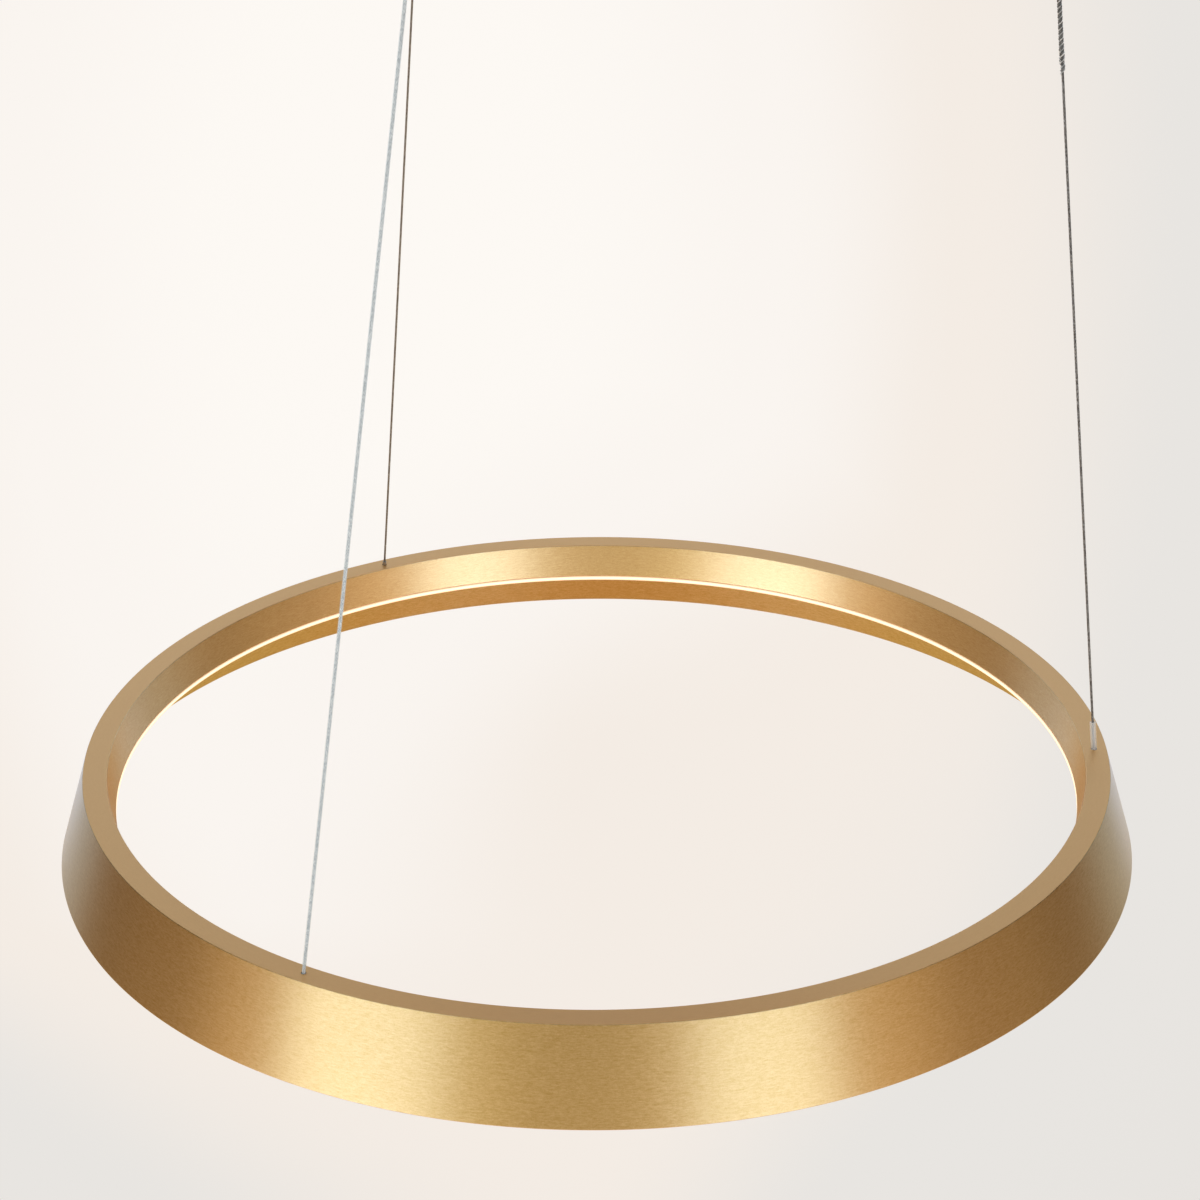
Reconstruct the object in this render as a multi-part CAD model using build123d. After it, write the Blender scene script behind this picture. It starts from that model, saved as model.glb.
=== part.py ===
"""Suspended LED ring: a flared ring of rolled aluminium profile that lights downwards, hung on three
slim cables from a flat round canopy. Millimetres, +Z up. The origin is the centre of the ceiling
plate's upper face, so everything hangs below z = 0."""

from build123d import *
import math
import os

os.makedirs("parts", exist_ok=True)

# Ring profile
ring_top_radius = 285.0        # outer edge of the flat top face
top_width = 13.35              # radial width of the flat top face
ring_height = 50.3             # outer edge, top to bottom
skirt_flare = 15.05            # radius gained by the outer wall down to the bottom edge
skirt_wall = 1.25
web_height = 19.66             # inner wall, from the top face down to its lip
web_taper = 3.75               # radius lost by the inner wall down to its lip
web_wall = 1.6
top_plate = 2.5
edge_round = 0.35
snap_rib = 0.6                 # ribs in the channel that hold the diffuser's legs
rib_lift = 2.0                 # from the inner wall's lip up to the ribs' upper side
rib_height = 0.8
rib_lead = 0.2                 # height of the slope at a rib's upper and lower side

# Diffuser
diffuser_drop = 2.9            # how far its light edge stands below the inner wall's lip
diffuser_plate = 2.2
diffuser_leg = 1.0
diffuser_leg_height = 4.6
diffuser_gap = 0.15
light_edge_inset = 0.05        # from the inner wall's face back to the diffuser's light edge
lap_gap = 0.15                 # between the inner wall's lip and the diffuser's edge below it
hook_gap = 0.3                 # from a rib up to the hook that rests over it
hook_lead = 0.4
leg_step = 0.1

# Light strip
strip_width = 8.0
strip_thickness = 1.2
strip_end_gap = 11.6           # from a cable anchor to the strip's full width
neck_width = 1.4               # narrow neck that carries the strip past an anchor
strip_joint_gap = 0.1          # between a neck and the next strip, under the solder
chips_per_strip = 40
chip_size = (2.8, 3.5, 0.8)
solder_size = (1.3, 3.0, 0.4)

# Cables and their anchors in the ring
cable_names = ("right", "rear", "front")
first_anchor_azimuth = -1.4    # degrees from +X
anchor_pitch = 120.0
anchor_inset = 7.0             # from the top face's outer edge to each cable's line
front_cable_radius = 1.05
rear_cable_radius = 0.65
right_cable_radius = 0.70
anchor_hole_radius = 1.4
sleeve_hole_radius = 1.85
sleeve_radius = 1.7
sleeve_bore = 0.85
sleeve_length = 17.6
bush_radius = 2.5
bush_bore = 1.3
bush_length = 2.4
bush_seat_depth = 1.0          # from the top face down to the bush's upper end
bush_chamfer = 0.5
ball_radius = 2.5
ball_seat_gap = 1.82           # from the bush's lower end to the ball's centre
ball_flat = 2.3                # from the ball's centre to the flat that the feed lead meets
shank_radius = 1.15
rear_shank_proud = 2.4
front_shank_sunk = 0.7
right_shank_sunk = 1.2
feed_lead_radius = 0.6
feed_lead_stub = 5.0           # straight run below the ball end
feed_lead_dips = (10.5, 7.5)   # below the strip, at 0.6 of the way and at the pad
pad_step = 0.55                # degrees from the strip's end to the feed lead's pad
fit_gap = 0.04                 # radial clearance of turned pieces in their bores

# Suspension
drop = 556.0                   # ceiling face to the ring's top face
ring_offset = -18.8            # the ring's axis hangs this far along X from the canopy's centre
gripper_inset = 16.2           # from the canopy's side to each gripper's axis
first_gripper_azimuth = 1.91
mouth_bend_radius = 40.0
cable_top = -18.0              # cut ends of the cables inside the canopy

# Wound strand on the right cable
strand_radius = 0.3
strand_clearance = 0.05
strand_pitch = 5.6
strand_start = 12.0            # below the gripper's mouth
strand_end = 110.0

# Canopy
canopy_radius = 225.0
canopy_height = 32.0
canopy_wall = 1.2
canopy_corner = 4.0
rim_gap = 0.5
plate_inset = 20.0             # from the canopy's side to the ceiling plate's edge
plate_thickness = 2.0
ear_width = 24.0
ear_drop = 18.0
ear_gap = 0.6
fixing_inset = 55.0            # from the plate's edge to the ceiling screw holes' centres
fixing_hole_radius = 2.75
fixing_count = 4
entry_position = (0.0, -70.0)
entry_radius = 9.0
grommet_wall = 3.0
grommet_lip = (1.5, 2.0)       # reach past the hole's edge, thickness

# Side screws
side_screw_radius = 1.96
side_screw_bore = 2.0
side_screw_height = -12.0
side_screw_head = (4.5, 3.6)   # radius, thickness
side_screw_reach = 8.5
side_slot_width = 4.8
side_head_gap = 0.2
knurl_count = 24
knurl_width = 0.5
knurl_chamfer = 0.4

# Grippers, heights from the ceiling face
gripper_radius = 6.0
gripper_bottom = -50.8
stem_radius = 4.0
stem_top = -22.0
washer_radius = 7.0
washer_thickness = 0.8
shoulder_bush_flange = (7.5, 1.0)
shoulder_bush_radius = 5.0
nut_across_flats = 13.0
nut_thickness = 4.0
cap_depth = 3.0                # the cap's threaded plug inside the barrel
cap_plug_radius = 4.4
cone_bottom = -45.0
cone_top = -40.0
cone_radii = (2.4, 3.6)
grip_ball_radius = 1.0
grip_ball_gap = 0.06
plunger_travel = 1.5
plunger_radius = 2.6
plunger_tip_radius = 2.2
plunger_collar = (3.2, 1.2)    # radius, thickness
plunger_flange = (4.2, 2.2)    # radius, thickness of the finger flange
plunger_bore = 1.7
gripper_mouth = -56.0
spring_wire = 0.25
spring_radius = 2.35
spring_turns = 3
running_gap = 0.12             # plunger in the barrel's mouth
collar_gap = 0.15
stem_gap = 0.2                 # cable in the stem and in the cap
lip_height = 1.5
plunger_rest_gap = 0.2         # collar above the barrel's lip

# Driver and terminals on the ceiling plate
driver_position = (0.0, 48.0)
driver_size = (118.0, 42.0, 21.0)
driver_wall = 1.6
driver_lid = 2.0
driver_board = (106.0, 34.0, 1.6)
driver_pillar = 3.0
driver_screw = (1.5, 7.0, 2.8, 1.6)   # shank radius, shank length, head radius, head height
terminal_position = (-34.0, -42.0)
terminal_size = (30.0, 17.0, 14.0)
terminal_screw_radius = 1.6
earth_position = (34.0, -42.0)
earth_screw_radius = 1.96
lead_radius = 0.9
port_spacing = 10.0            # between the two leads of a driver's end
eyelet_plate = (6.5, 0.8)      # radius, thickness
eyelet_barrel = (1.5, 6.0, 7.0)   # radius, distance from the gripper's axis, length
output_route_right = ((14.0, 0.0, 0.0), (62.0, -7.0, 4.0), (112.0, -23.0, 11.8))
output_route_front = ((14.0, 0.0, 0.0), (20.0, -45.0, 2.0), (-6.0, -99.0, 5.0),
                      (-60.0, -145.0, 10.8), (-118.0, -187.0, 11.8))   # right, along +Y, down from the port


def save(node, *solids):
    """One STEP file for each named piece, or for a group of like pieces."""
    shape = solids[0] if len(solids) == 1 else Compound(children=list(solids))
    shape.label = node
    export_step(shape, f"parts/{node}.step")


def polar(radius, azimuth, z, centre_x=0.0):
    """A point at a radius and an azimuth about the vertical axis through centre_x."""
    turn = math.radians(azimuth)
    return Vector(centre_x + radius * math.cos(turn), radius * math.sin(turn), z)


def ring_point(radius, azimuth, depth):
    """A point of the ring, by radius from its axis, azimuth and height above its top face."""
    return polar(radius, azimuth, depth - drop, ring_offset)


def turned(points, rounds=()):
    """A solid turned about Z from an (r, z) outline; rounds lists (corner index, radius)."""
    face = make_face(Polyline(*points, close=True))
    for index, radius in rounds:
        corner = Vector(*points[index])
        face = fillet(face.vertices().sort_by_distance(corner)[0], radius)
    return revolve(Plane.XZ * face, Axis.Z)


def tube(path, radius):
    """A round section carried along a path from its first point."""
    section = Plane(origin=path @ 0, z_dir=path % 0) * Circle(radius)
    return sweep(section, path=path)


def bent_path(points, radii):
    """Straight runs joined by tangent arcs, with the arc radii printed."""
    print("arc radii", [round(radius, 1) for radius in radii])
    return FilletPolyline(*points, radius=radii)


def largest_radii(points):
    """For each corner, 0.45 of its shorter run over the tangent of half the turn."""
    radii = []
    for before, corner, after in zip(points, points[1:], points[2:]):
        run_in, run_out = corner - before, after - corner
        half_turn = math.radians(run_in.get_angle(run_out)) / 2
        radii.append(0.45 * min(run_in.length, run_out.length) / math.tan(half_turn))
    return radii


def helix_edges(base, axis, start_direction, radius, pitch, quarters):
    """A helix as two tangent arcs for each quarter turn, about axis from base."""
    side = axis.cross(start_direction)
    lean = pitch / (2 * math.pi * radius)

    def place(quarter):
        angle = quarter * math.pi / 2
        out = start_direction * math.cos(angle) + side * math.sin(angle)
        along = side * math.cos(angle) - start_direction * math.sin(angle)
        return base + out * radius + axis * (pitch * quarter / 4), (along + axis * lean).normalized()

    edges = []
    for quarter in range(quarters):
        (p0, t0), (p1, t1) = place(quarter), place(quarter + 1)
        span, both = p1 - p0, t0 + t1
        lack = 4 - both.dot(both)
        reach = (math.sqrt(span.dot(both) ** 2 + lack * span.dot(span)) - span.dot(both)) / lack
        middle = (p0 + t0 * reach + p1 - t1 * reach) * 0.5
        edges.append(TangentArc(p0, middle, tangent=t0))
        edges.append(TangentArc(middle, p1, tangent=edges[-1] % 1))
    return edges


def turn_gap(radius, pitch, wire_radius, turns):
    """Least distance between the surfaces of neighbouring turns, on points along the wire."""
    def spot(angle):
        return Vector(radius * math.cos(angle), radius * math.sin(angle), pitch * angle / (2 * math.pi))
    steps = [spot(math.radians(5 * k)) for k in range(int(72 * min(turns, 3)) + 1)]
    apart = [(a - b).length for i, a in enumerate(steps) for b in steps[i + 36:]]
    return min(apart) - 2 * wire_radius


# --- Lines that several pieces share -------------------------------------------------------------

skirt_slope = skirt_flare / ring_height
web_slope = web_taper / web_height
inner_top_radius = ring_top_radius - top_width
skirt_across = skirt_wall * math.hypot(1, skirt_slope)
web_across = web_wall * math.hypot(1, web_slope)
anchor_circle = ring_top_radius - anchor_inset
gripper_circle = canopy_radius - gripper_inset
plate_radius = canopy_radius - plate_inset
fixing_circle = plate_radius - fixing_inset


def skirt_outside(depth):
    return ring_top_radius - skirt_slope * depth


def skirt_inside(depth):
    return skirt_outside(depth) - skirt_across


def web_inside(depth):
    return inner_top_radius + web_slope * depth


def web_outside(depth):
    return web_inside(depth) + web_across


anchor_azimuths = [first_anchor_azimuth + anchor_pitch * k for k, name in enumerate(cable_names)]
gripper_azimuths = [first_gripper_azimuth + anchor_pitch * k for k, name in enumerate(cable_names)]
cable_radii = (right_cable_radius, rear_cable_radius, front_cable_radius)
gripper_centres = [polar(gripper_circle, azimuth, 0) for azimuth in gripper_azimuths]
mouth_corners = [centre + Vector(0, 0, gripper_mouth) for centre in gripper_centres]
seat_points = [ring_point(anchor_circle, azimuth, -bush_seat_depth) for azimuth in anchor_azimuths]
cable_axes = [(high - low).normalized() for low, high in zip(seat_points, mouth_corners)]


def along_cable(which, start, stop, radius):
    """A cylinder on a cable's line, between two distances from its bush's upper end."""
    base = seat_points[which] + cable_axes[which] * start
    rod = Cylinder(radius, stop - start, align=(Align.CENTER, Align.CENTER, Align.MIN))
    return Plane(origin=base, z_dir=cable_axes[which]) * rod


# --- Ring housing --------------------------------------------------------------------------------
# Two rolled aluminium bands, a tall flared skirt and a short inner wall that ends in a lip, welded to
# a flat annular plate between their upper edges.

foot_lift = skirt_wall * skirt_slope / math.hypot(1, skirt_slope)
rib_top = rib_lift - web_height
rib_low = rib_top - rib_height
skirt = turned([
    (ring_top_radius, 0),
    (skirt_outside(-ring_height), -ring_height),
    (skirt_inside(-ring_height - foot_lift), -ring_height - foot_lift),
    (skirt_inside(rib_low), rib_low),
    (skirt_inside(rib_low) - snap_rib, rib_low + rib_lead),
    (skirt_inside(rib_top) - snap_rib, rib_top - rib_lead),
    (skirt_inside(rib_top), rib_top),
    (skirt_inside(0), 0),
], [(0, edge_round), (1, edge_round), (2, edge_round)])
save("ring_skirt", Pos(ring_offset, 0, -drop) * skirt)

inner_wall = turned([
    (inner_top_radius, 0),
    (web_outside(0), 0),
    (web_outside(rib_top), rib_top),
    (web_outside(rib_top) + snap_rib, rib_top - rib_lead),
    (web_outside(rib_low) + snap_rib, rib_low + rib_lead),
    (web_outside(rib_low), rib_low),
    (web_outside(-web_height), -web_height),
    (web_inside(-web_height), -web_height),
], [(0, edge_round), (6, edge_round), (7, edge_round)])
save("ring_inner_wall", Pos(ring_offset, 0, -drop) * inner_wall)

plate = turned([
    (web_outside(0), 0), (skirt_inside(0), 0),
    (skirt_inside(-top_plate), -top_plate), (web_outside(-top_plate), -top_plate)])
plate = Pos(ring_offset, 0, -drop) * plate
hole_radii = (sleeve_hole_radius, anchor_hole_radius, anchor_hole_radius)
for which, hole_radius in enumerate(hole_radii):
    plate -= along_cable(which, -1, 2 * top_plate, hole_radius)
    plate -= along_cable(which, -2 * top_plate, 0, bush_radius + fit_gap)
save("ring_top_plate", plate)

# --- Diffuser ------------------------------------------------------------------------------------
# Opal plastic ring that closes the channel; two hooked legs sit over the ribs, and its inner edge laps
# under the inner wall and shows as a line of light.

diffuser_low = -web_height - diffuser_drop
plate_high = diffuser_low + diffuser_plate
leg_high = plate_high + diffuser_leg_height
hook_low = rib_top + hook_gap
leg_in = snap_rib + diffuser_gap
light_edge = web_inside(-web_height) + light_edge_inset
lap_high = -web_height - lap_gap
outline = [
    (light_edge, diffuser_low),
    (skirt_inside(diffuser_low) - diffuser_gap, diffuser_low),
    (skirt_inside(plate_high) - diffuser_gap, plate_high),
    (skirt_inside(plate_high) - leg_in, plate_high + leg_step),
    (skirt_inside(hook_low) - leg_in, hook_low),
    (skirt_inside(hook_low) - diffuser_gap, hook_low + hook_lead),
    (skirt_inside(leg_high) - leg_in, leg_high),
    (skirt_inside(leg_high) - leg_in - diffuser_leg, leg_high),
    (skirt_inside(plate_high) - leg_in - diffuser_leg, plate_high),
    (web_outside(plate_high) + leg_in + diffuser_leg, plate_high),
    (web_outside(leg_high) + leg_in + diffuser_leg, leg_high),
    (web_outside(leg_high) + leg_in, leg_high),
    (web_outside(hook_low) + diffuser_gap, hook_low + hook_lead),
    (web_outside(hook_low) + leg_in, hook_low),
    (web_outside(-web_height) + leg_in, lap_high),
    (light_edge, lap_high),
]
diffuser = turned(outline, [(0, diffuser_gap), (1, diffuser_gap)])
save("diffuser", Pos(ring_offset, 0, -drop) * diffuser)

# --- Light strips --------------------------------------------------------------------------------
# Three aluminium-cored strips under the top plate; a narrow neck carries each past one anchor.

strip_middle = (web_outside(-top_plate) + skirt_inside(-top_plate)) / 2
strip_outer = strip_middle + strip_width / 2
strip_low = -top_plate - strip_thickness
end_angle = math.degrees(strip_end_gap / strip_middle)
strip_sweep = anchor_pitch - 2 * end_angle
neck_sweep = 2 * end_angle - math.degrees(strip_joint_gap / strip_middle)


def ring_band(inner, outer, low, high, azimuth, sweep_angle):
    """Part of a flat band under the top plate, from azimuth through sweep_angle."""
    section = Pos((inner + outer) / 2, (low + high) / 2) * Rectangle(outer - inner, high - low)
    band = revolve(Plane.XZ * section, Axis.Z, sweep_angle)
    return Pos(ring_offset, 0, -drop) * Rot(0, 0, azimuth) * band


strip_names = ("rear_right", "left", "front_right")
solder_joints = []
for name, azimuth in zip(strip_names, anchor_azimuths):
    start = azimuth + end_angle
    strip = ring_band(strip_outer - strip_width, strip_outer, strip_low, -top_plate, start, strip_sweep)
    strip += ring_band(strip_outer - neck_width, strip_outer, strip_low, -top_plate,
                       start + strip_sweep, neck_sweep)
    save(f"led_strip_{name}", strip)
    chips = []
    for chip in range(chips_per_strip):
        chip_azimuth = start + strip_sweep * (chip + 0.5) / chips_per_strip
        spot = ring_point(strip_middle, chip_azimuth, strip_low - chip_size[2] / 2)
        chips.append(Pos(*spot) * Rot(0, 0, chip_azimuth) * Box(*chip_size))
    save(f"led_chips_{name}", *chips)
    joint = ring_point(strip_outer - neck_width / 2, start, strip_low - solder_size[2] / 2)
    solder_joints.append(Pos(*joint) * Rot(0, 0, start) * Box(*solder_size))
save("strip_solder_joints", *solder_joints)

# --- Cable ends in the ring ----------------------------------------------------------------------
# Each cable is swaged into a ball end; the ball pulls up against a bush set under the top plate.

shank_tops = (bush_seat_depth - right_shank_sunk, bush_seat_depth + rear_shank_proud,
              bush_seat_depth - front_shank_sunk)
bush_low = -bush_length
ball_centre = bush_low - ball_seat_gap
for which, name in enumerate(cable_names):
    bush = along_cable(which, bush_low, 0, bush_radius) - along_cable(which, bush_low - 1, 1, bush_bore)
    seat = Cone(bush_bore + bush_chamfer, bush_bore, bush_chamfer,
                align=(Align.CENTER, Align.CENTER, Align.MIN))
    low_end = Plane(origin=seat_points[which] + cable_axes[which] * bush_low, z_dir=cable_axes[which])
    save(f"anchor_bush_{name}", bush - low_end * seat)
    centre = seat_points[which] + cable_axes[which] * ball_centre
    ball = Pos(*centre) * Sphere(ball_radius)
    ball -= along_cable(which, ball_centre - ball_radius - 1, ball_centre - ball_flat, ball_radius)
    ball += along_cable(which, ball_centre, shank_tops[which], shank_radius)
    save(f"ball_end_{name}", ball)

sleeve = along_cable(0, 0, sleeve_length, sleeve_radius) - along_cable(0, -1, sleeve_length + 1, sleeve_bore)
save("cable_sleeve_right", sleeve)

# Feed leads: from the two live ball ends to the strips.
pad_angle = end_angle + pad_step
for which, name in ((2, "front"), (0, "right")):
    azimuth = anchor_azimuths[which]
    flat = seat_points[which] + cable_axes[which] * (ball_centre - ball_flat)
    points = [
        flat,
        flat - cable_axes[which] * feed_lead_stub,
        ring_point(strip_middle, azimuth + 0.6 * pad_angle, strip_low - feed_lead_dips[0]),
        ring_point(strip_middle, azimuth + pad_angle, strip_low - feed_lead_dips[1]),
        ring_point(strip_middle, azimuth + pad_angle, strip_low),
    ]
    save(f"feed_lead_{name}", tube(bent_path(points, largest_radii(points)), feed_lead_radius))

# --- Cables --------------------------------------------------------------------------------------
# Straight and taut from the ball end to the gripper's mouth, then upright through the gripper.

for which, name in enumerate(cable_names):
    low = seat_points[which] + cable_axes[which] * shank_tops[which]
    corner = mouth_corners[which]
    high = Vector(corner.X, corner.Y, cable_top)
    path = bent_path([low, corner, high], [mouth_bend_radius])
    cable = tube(path, cable_radii[which])
    area = math.pi * cable_radii[which] ** 2
    print(f"cable_{name} length {path.length:.1f}, volume over section x length",
          round(cable.volume / (area * path.length), 5))
    save(f"cable_{name}", cable)

# Wound strand: one strand of the right cable's spare end, laid back and wound round it.
strand_circle = right_cable_radius + strand_clearance + strand_radius
strand_quarters = round(4 * (strand_end - strand_start) / strand_pitch)
strand_base = mouth_corners[0] - cable_axes[0] * strand_end
outward = polar(1, gripper_azimuths[0], 0)
level = (outward - cable_axes[0] * outward.dot(cable_axes[0])).normalized()
helix = helix_edges(strand_base, cable_axes[0], level, strand_circle, strand_pitch, strand_quarters)
print("wound strand: turns", strand_quarters / 4, "least gap between turns",
      round(turn_gap(strand_circle, strand_pitch, strand_radius, strand_quarters / 4), 2))
save("wound_strand_right", tube(Wire(helix), strand_radius))

# --- Canopy shell --------------------------------------------------------------------------------

shell_floor = -canopy_height + canopy_wall
shell = turned(
    [(0, -canopy_height), (canopy_radius, -canopy_height), (canopy_radius, -rim_gap),
     (canopy_radius - canopy_wall, -rim_gap), (canopy_radius - canopy_wall, shell_floor),
     (0, shell_floor)],
    [(1, canopy_corner), (4, canopy_corner - canopy_wall)])
for centre in gripper_centres:
    shell -= Pos(centre.X, centre.Y, shell_floor) * Cylinder(shoulder_bush_radius + fit_gap, 4 * canopy_wall)
screw_azimuths = [azimuth + anchor_pitch / 2 for azimuth in gripper_azimuths]
slot_depth = -side_screw_height
for azimuth in screw_azimuths:
    middle = polar(canopy_radius - canopy_wall / 2, azimuth, side_screw_height)
    slot = Pos(0, 0, slot_depth / 2) * Box(4 * canopy_wall, side_slot_width, slot_depth)
    foot = Rot(0, 90, 0) * Cylinder(side_slot_width / 2, 4 * canopy_wall)
    shell -= Pos(*middle) * Rot(0, 0, azimuth) * (slot + foot)
save("canopy_shell", shell)

# --- Ceiling plate -------------------------------------------------------------------------------

ear_face = math.sqrt((canopy_radius - canopy_wall - ear_gap) ** 2 - (ear_width / 2) ** 2)
plate = Pos(0, 0, -plate_thickness / 2) * Cylinder(plate_radius, plate_thickness)
for azimuth in screw_azimuths:
    arm_length = ear_face - plate_radius / 2
    arm = Box(arm_length, ear_width, plate_thickness)
    arm = Pos(ear_face - arm_length / 2, 0, -plate_thickness / 2) * arm
    ear = Pos(ear_face - plate_thickness / 2, 0, -ear_drop / 2) * Box(plate_thickness, ear_width, ear_drop)
    bore = Pos(ear_face - plate_thickness / 2, 0, side_screw_height)
    bore *= Rot(0, 90, 0) * Cylinder(side_screw_bore, 3 * plate_thickness)
    plate += Rot(0, 0, azimuth) * (arm + ear)
    plate -= Rot(0, 0, azimuth) * bore
for k in range(fixing_count):
    spot = polar(fixing_circle, 45 + 360 / fixing_count * k, -plate_thickness / 2)
    plate -= Pos(*spot) * Cylinder(fixing_hole_radius, 2 * plate_thickness)
plate -= Pos(*entry_position, -plate_thickness / 2) * Cylinder(entry_radius, 2 * plate_thickness)
earth_hole = Cylinder(earth_screw_radius + fit_gap, 2 * plate_thickness)
plate -= Pos(*earth_position, -plate_thickness / 2) * earth_hole
save("ceiling_plate", plate)

# Grommet in the cable entry: a rubber ring with a lip below the plate's edge.
lip_reach, lip_thickness = grommet_lip
grommet = Pos(*entry_position, 0) * turned([
    (entry_radius - grommet_wall, -plate_thickness - lip_thickness),
    (entry_radius + lip_reach, -plate_thickness - lip_thickness),
    (entry_radius + lip_reach, -plate_thickness), (entry_radius - fit_gap, -plate_thickness),
    (entry_radius - fit_gap, 0), (entry_radius - grommet_wall, 0)])
save("entry_grommet", grommet)

# Side screws: knurled heads outside the shell, shanks in the plate's ears.
head_radius, head_thickness = side_screw_head
head_start = canopy_radius + side_head_gap
for number, azimuth in enumerate(screw_azimuths, 1):
    shank = Cylinder(side_screw_radius, side_screw_reach, align=(Align.CENTER, Align.CENTER, Align.MAX))
    head = Cylinder(head_radius, head_thickness, align=(Align.CENTER, Align.CENTER, Align.MIN))
    head = chamfer(head.edges().filter_by(GeomType.CIRCLE), knurl_chamfer)
    for k in range(knurl_count):
        groove = Rot(0, 0, 360 / knurl_count * k) * Pos(head_radius, 0, head_thickness / 2)
        head -= groove * Rot(0, 0, 45) * Box(knurl_width, knurl_width, 2 * head_thickness)
    screw = Pos(*polar(head_start, azimuth, side_screw_height)) * Rot(0, 0, azimuth) * Rot(0, 90, 0)
    save(f"side_screw_{number}", screw * (shank + head))

# --- Grippers ------------------------------------------------------------------------------------
# Barrel with an upward-widening cone, three balls that the load wedges on the cable, a spring above
# them and a sprung plunger below that frees them.

barrel_top = -canopy_height - washer_thickness
bush_flange_radius, bush_flange = shoulder_bush_flange
flange_top = shell_floor + bush_flange
plug_low = barrel_top - cap_depth
collar_radius, collar_thickness = plunger_collar
flange_radius, flange_thickness = plunger_flange
lip_top = gripper_bottom + lip_height
collar_low = lip_top + plunger_rest_gap
tip_top = cone_bottom - 1.0
cone_run = cone_radii[1] - cone_radii[0]
cone_slope = cone_run / (cone_top - cone_bottom)
collar_room = collar_low + collar_thickness + plunger_travel + 0.3

all_balls, all_nuts, all_bushes, all_washers = [], [], [], []
for which, name in enumerate(cable_names):
    stand = Pos(gripper_centres[which].X, gripper_centres[which].Y, 0)
    cable_radius = cable_radii[which]
    barrel = turned([
        (plunger_radius + running_gap, gripper_bottom), (gripper_radius, gripper_bottom),
        (gripper_radius, barrel_top), (cap_plug_radius + fit_gap, barrel_top),
        (cap_plug_radius + fit_gap, plug_low - 0.1), (cone_radii[1], plug_low - 0.1),
        (cone_radii[1], cone_top), (cone_radii[0], cone_bottom),
        (cone_radii[0], collar_room), (collar_radius + collar_gap, collar_room),
        (collar_radius + collar_gap, lip_top), (plunger_radius + running_gap, lip_top)],
        [(1, 1.0)])
    save(f"gripper_barrel_{name}", stand * barrel)
    cap = turned([
        (cable_radius + stem_gap, plug_low), (cap_plug_radius, plug_low), (cap_plug_radius, barrel_top),
        (stem_radius, barrel_top), (stem_radius, stem_top), (cable_radius + stem_gap, stem_top)])
    save(f"gripper_stem_{name}", stand * cap)
    plunger = turned([
        (plunger_bore, gripper_mouth + 1.2), (plunger_bore + 0.8, gripper_mouth),
        (flange_radius, gripper_mouth), (flange_radius, gripper_mouth + flange_thickness),
        (plunger_radius, gripper_mouth + flange_thickness), (plunger_radius, collar_low),
        (collar_radius, collar_low), (collar_radius, collar_low + collar_thickness),
        (plunger_tip_radius, collar_low + collar_thickness), (plunger_tip_radius, tip_top),
        (plunger_bore, tip_top)],
        [(2, 0.5), (3, 0.5)])
    save(f"gripper_plunger_{name}", stand * plunger)
    ball_circle = cable_radius + grip_ball_radius + grip_ball_gap
    wall_there = ball_circle + grip_ball_radius * math.hypot(1, cone_slope) + grip_ball_gap
    ball_height = cone_bottom + (wall_there - cone_radii[0]) / cone_slope
    for k in range(3):
        spot = polar(ball_circle, 120 * k, ball_height)
        all_balls.append(stand * Pos(*spot) * Sphere(grip_ball_radius))
    spring_low = ball_height + grip_ball_radius + spring_wire + 0.1
    spring_pitch = (plug_low - 0.1 - spring_wire - spring_low) / spring_turns
    spring = helix_edges(Vector(gripper_centres[which].X, gripper_centres[which].Y, spring_low),
                         Vector(0, 0, 1), Vector(1, 0, 0), spring_radius, spring_pitch, 4 * spring_turns)
    save(f"gripper_spring_{name}", tube(Wire(spring), spring_wire))
    print(f"gripper_spring_{name}: turns", spring_turns, "least gap between turns",
          round(turn_gap(spring_radius, spring_pitch, spring_wire, spring_turns), 2))
    nut = extrude(RegularPolygon(nut_across_flats / 2, 6, major_radius=False), nut_thickness)
    nut -= Cylinder(stem_radius + fit_gap, 3 * nut_thickness)
    all_nuts.append(stand * Pos(0, 0, flange_top) * nut)
    all_bushes.append(stand * turned([
        (stem_radius + fit_gap, -canopy_height), (shoulder_bush_radius, -canopy_height),
        (shoulder_bush_radius, shell_floor), (bush_flange_radius, shell_floor),
        (bush_flange_radius, flange_top), (stem_radius + fit_gap, flange_top)]))
    all_washers.append(stand * turned([
        (stem_radius + fit_gap, barrel_top), (washer_radius, barrel_top),
        (washer_radius, -canopy_height), (stem_radius + fit_gap, -canopy_height)]))
save("gripper_balls", *all_balls)
save("gripper_locknuts", *all_nuts)
save("gripper_shoulder_bushes", *all_bushes)
save("gripper_washers", *all_washers)

# --- Driver --------------------------------------------------------------------------------------
# Plastic case screwed under the ceiling plate, open downwards and closed by a lid.

length, width, height = driver_size
driver_top = -plate_thickness
lid_top = driver_top - height + driver_lid
case = Box(length, width, height - driver_lid, align=(Align.CENTER, Align.CENTER, Align.MAX))
case = fillet(case.edges().filter_by(Axis.Z), 3.0)
hollow = Box(length - 2 * driver_wall, width - 2 * driver_wall, height - driver_lid - driver_wall,
             align=(Align.CENTER, Align.CENTER, Align.MAX))
case -= Pos(0, 0, -driver_wall) * hollow
pillar_x, pillar_y = length / 2 - driver_wall - 3.2, width / 2 - driver_wall - 3.2
pillars = [(sx * pillar_x, sy * pillar_y) for sx in (-1, 1) for sy in (-1, 1)]
for x, y in pillars:
    pillar = Cylinder(driver_pillar, height - driver_lid, align=(Align.CENTER, Align.CENTER, Align.MAX))
    bore = Cylinder(driver_screw[0] + fit_gap, 10, align=(Align.CENTER, Align.CENTER, Align.MAX))
    case += Pos(x, y, 0) * pillar
    case -= Pos(x, y, -height + driver_lid + 9) * bore
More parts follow.
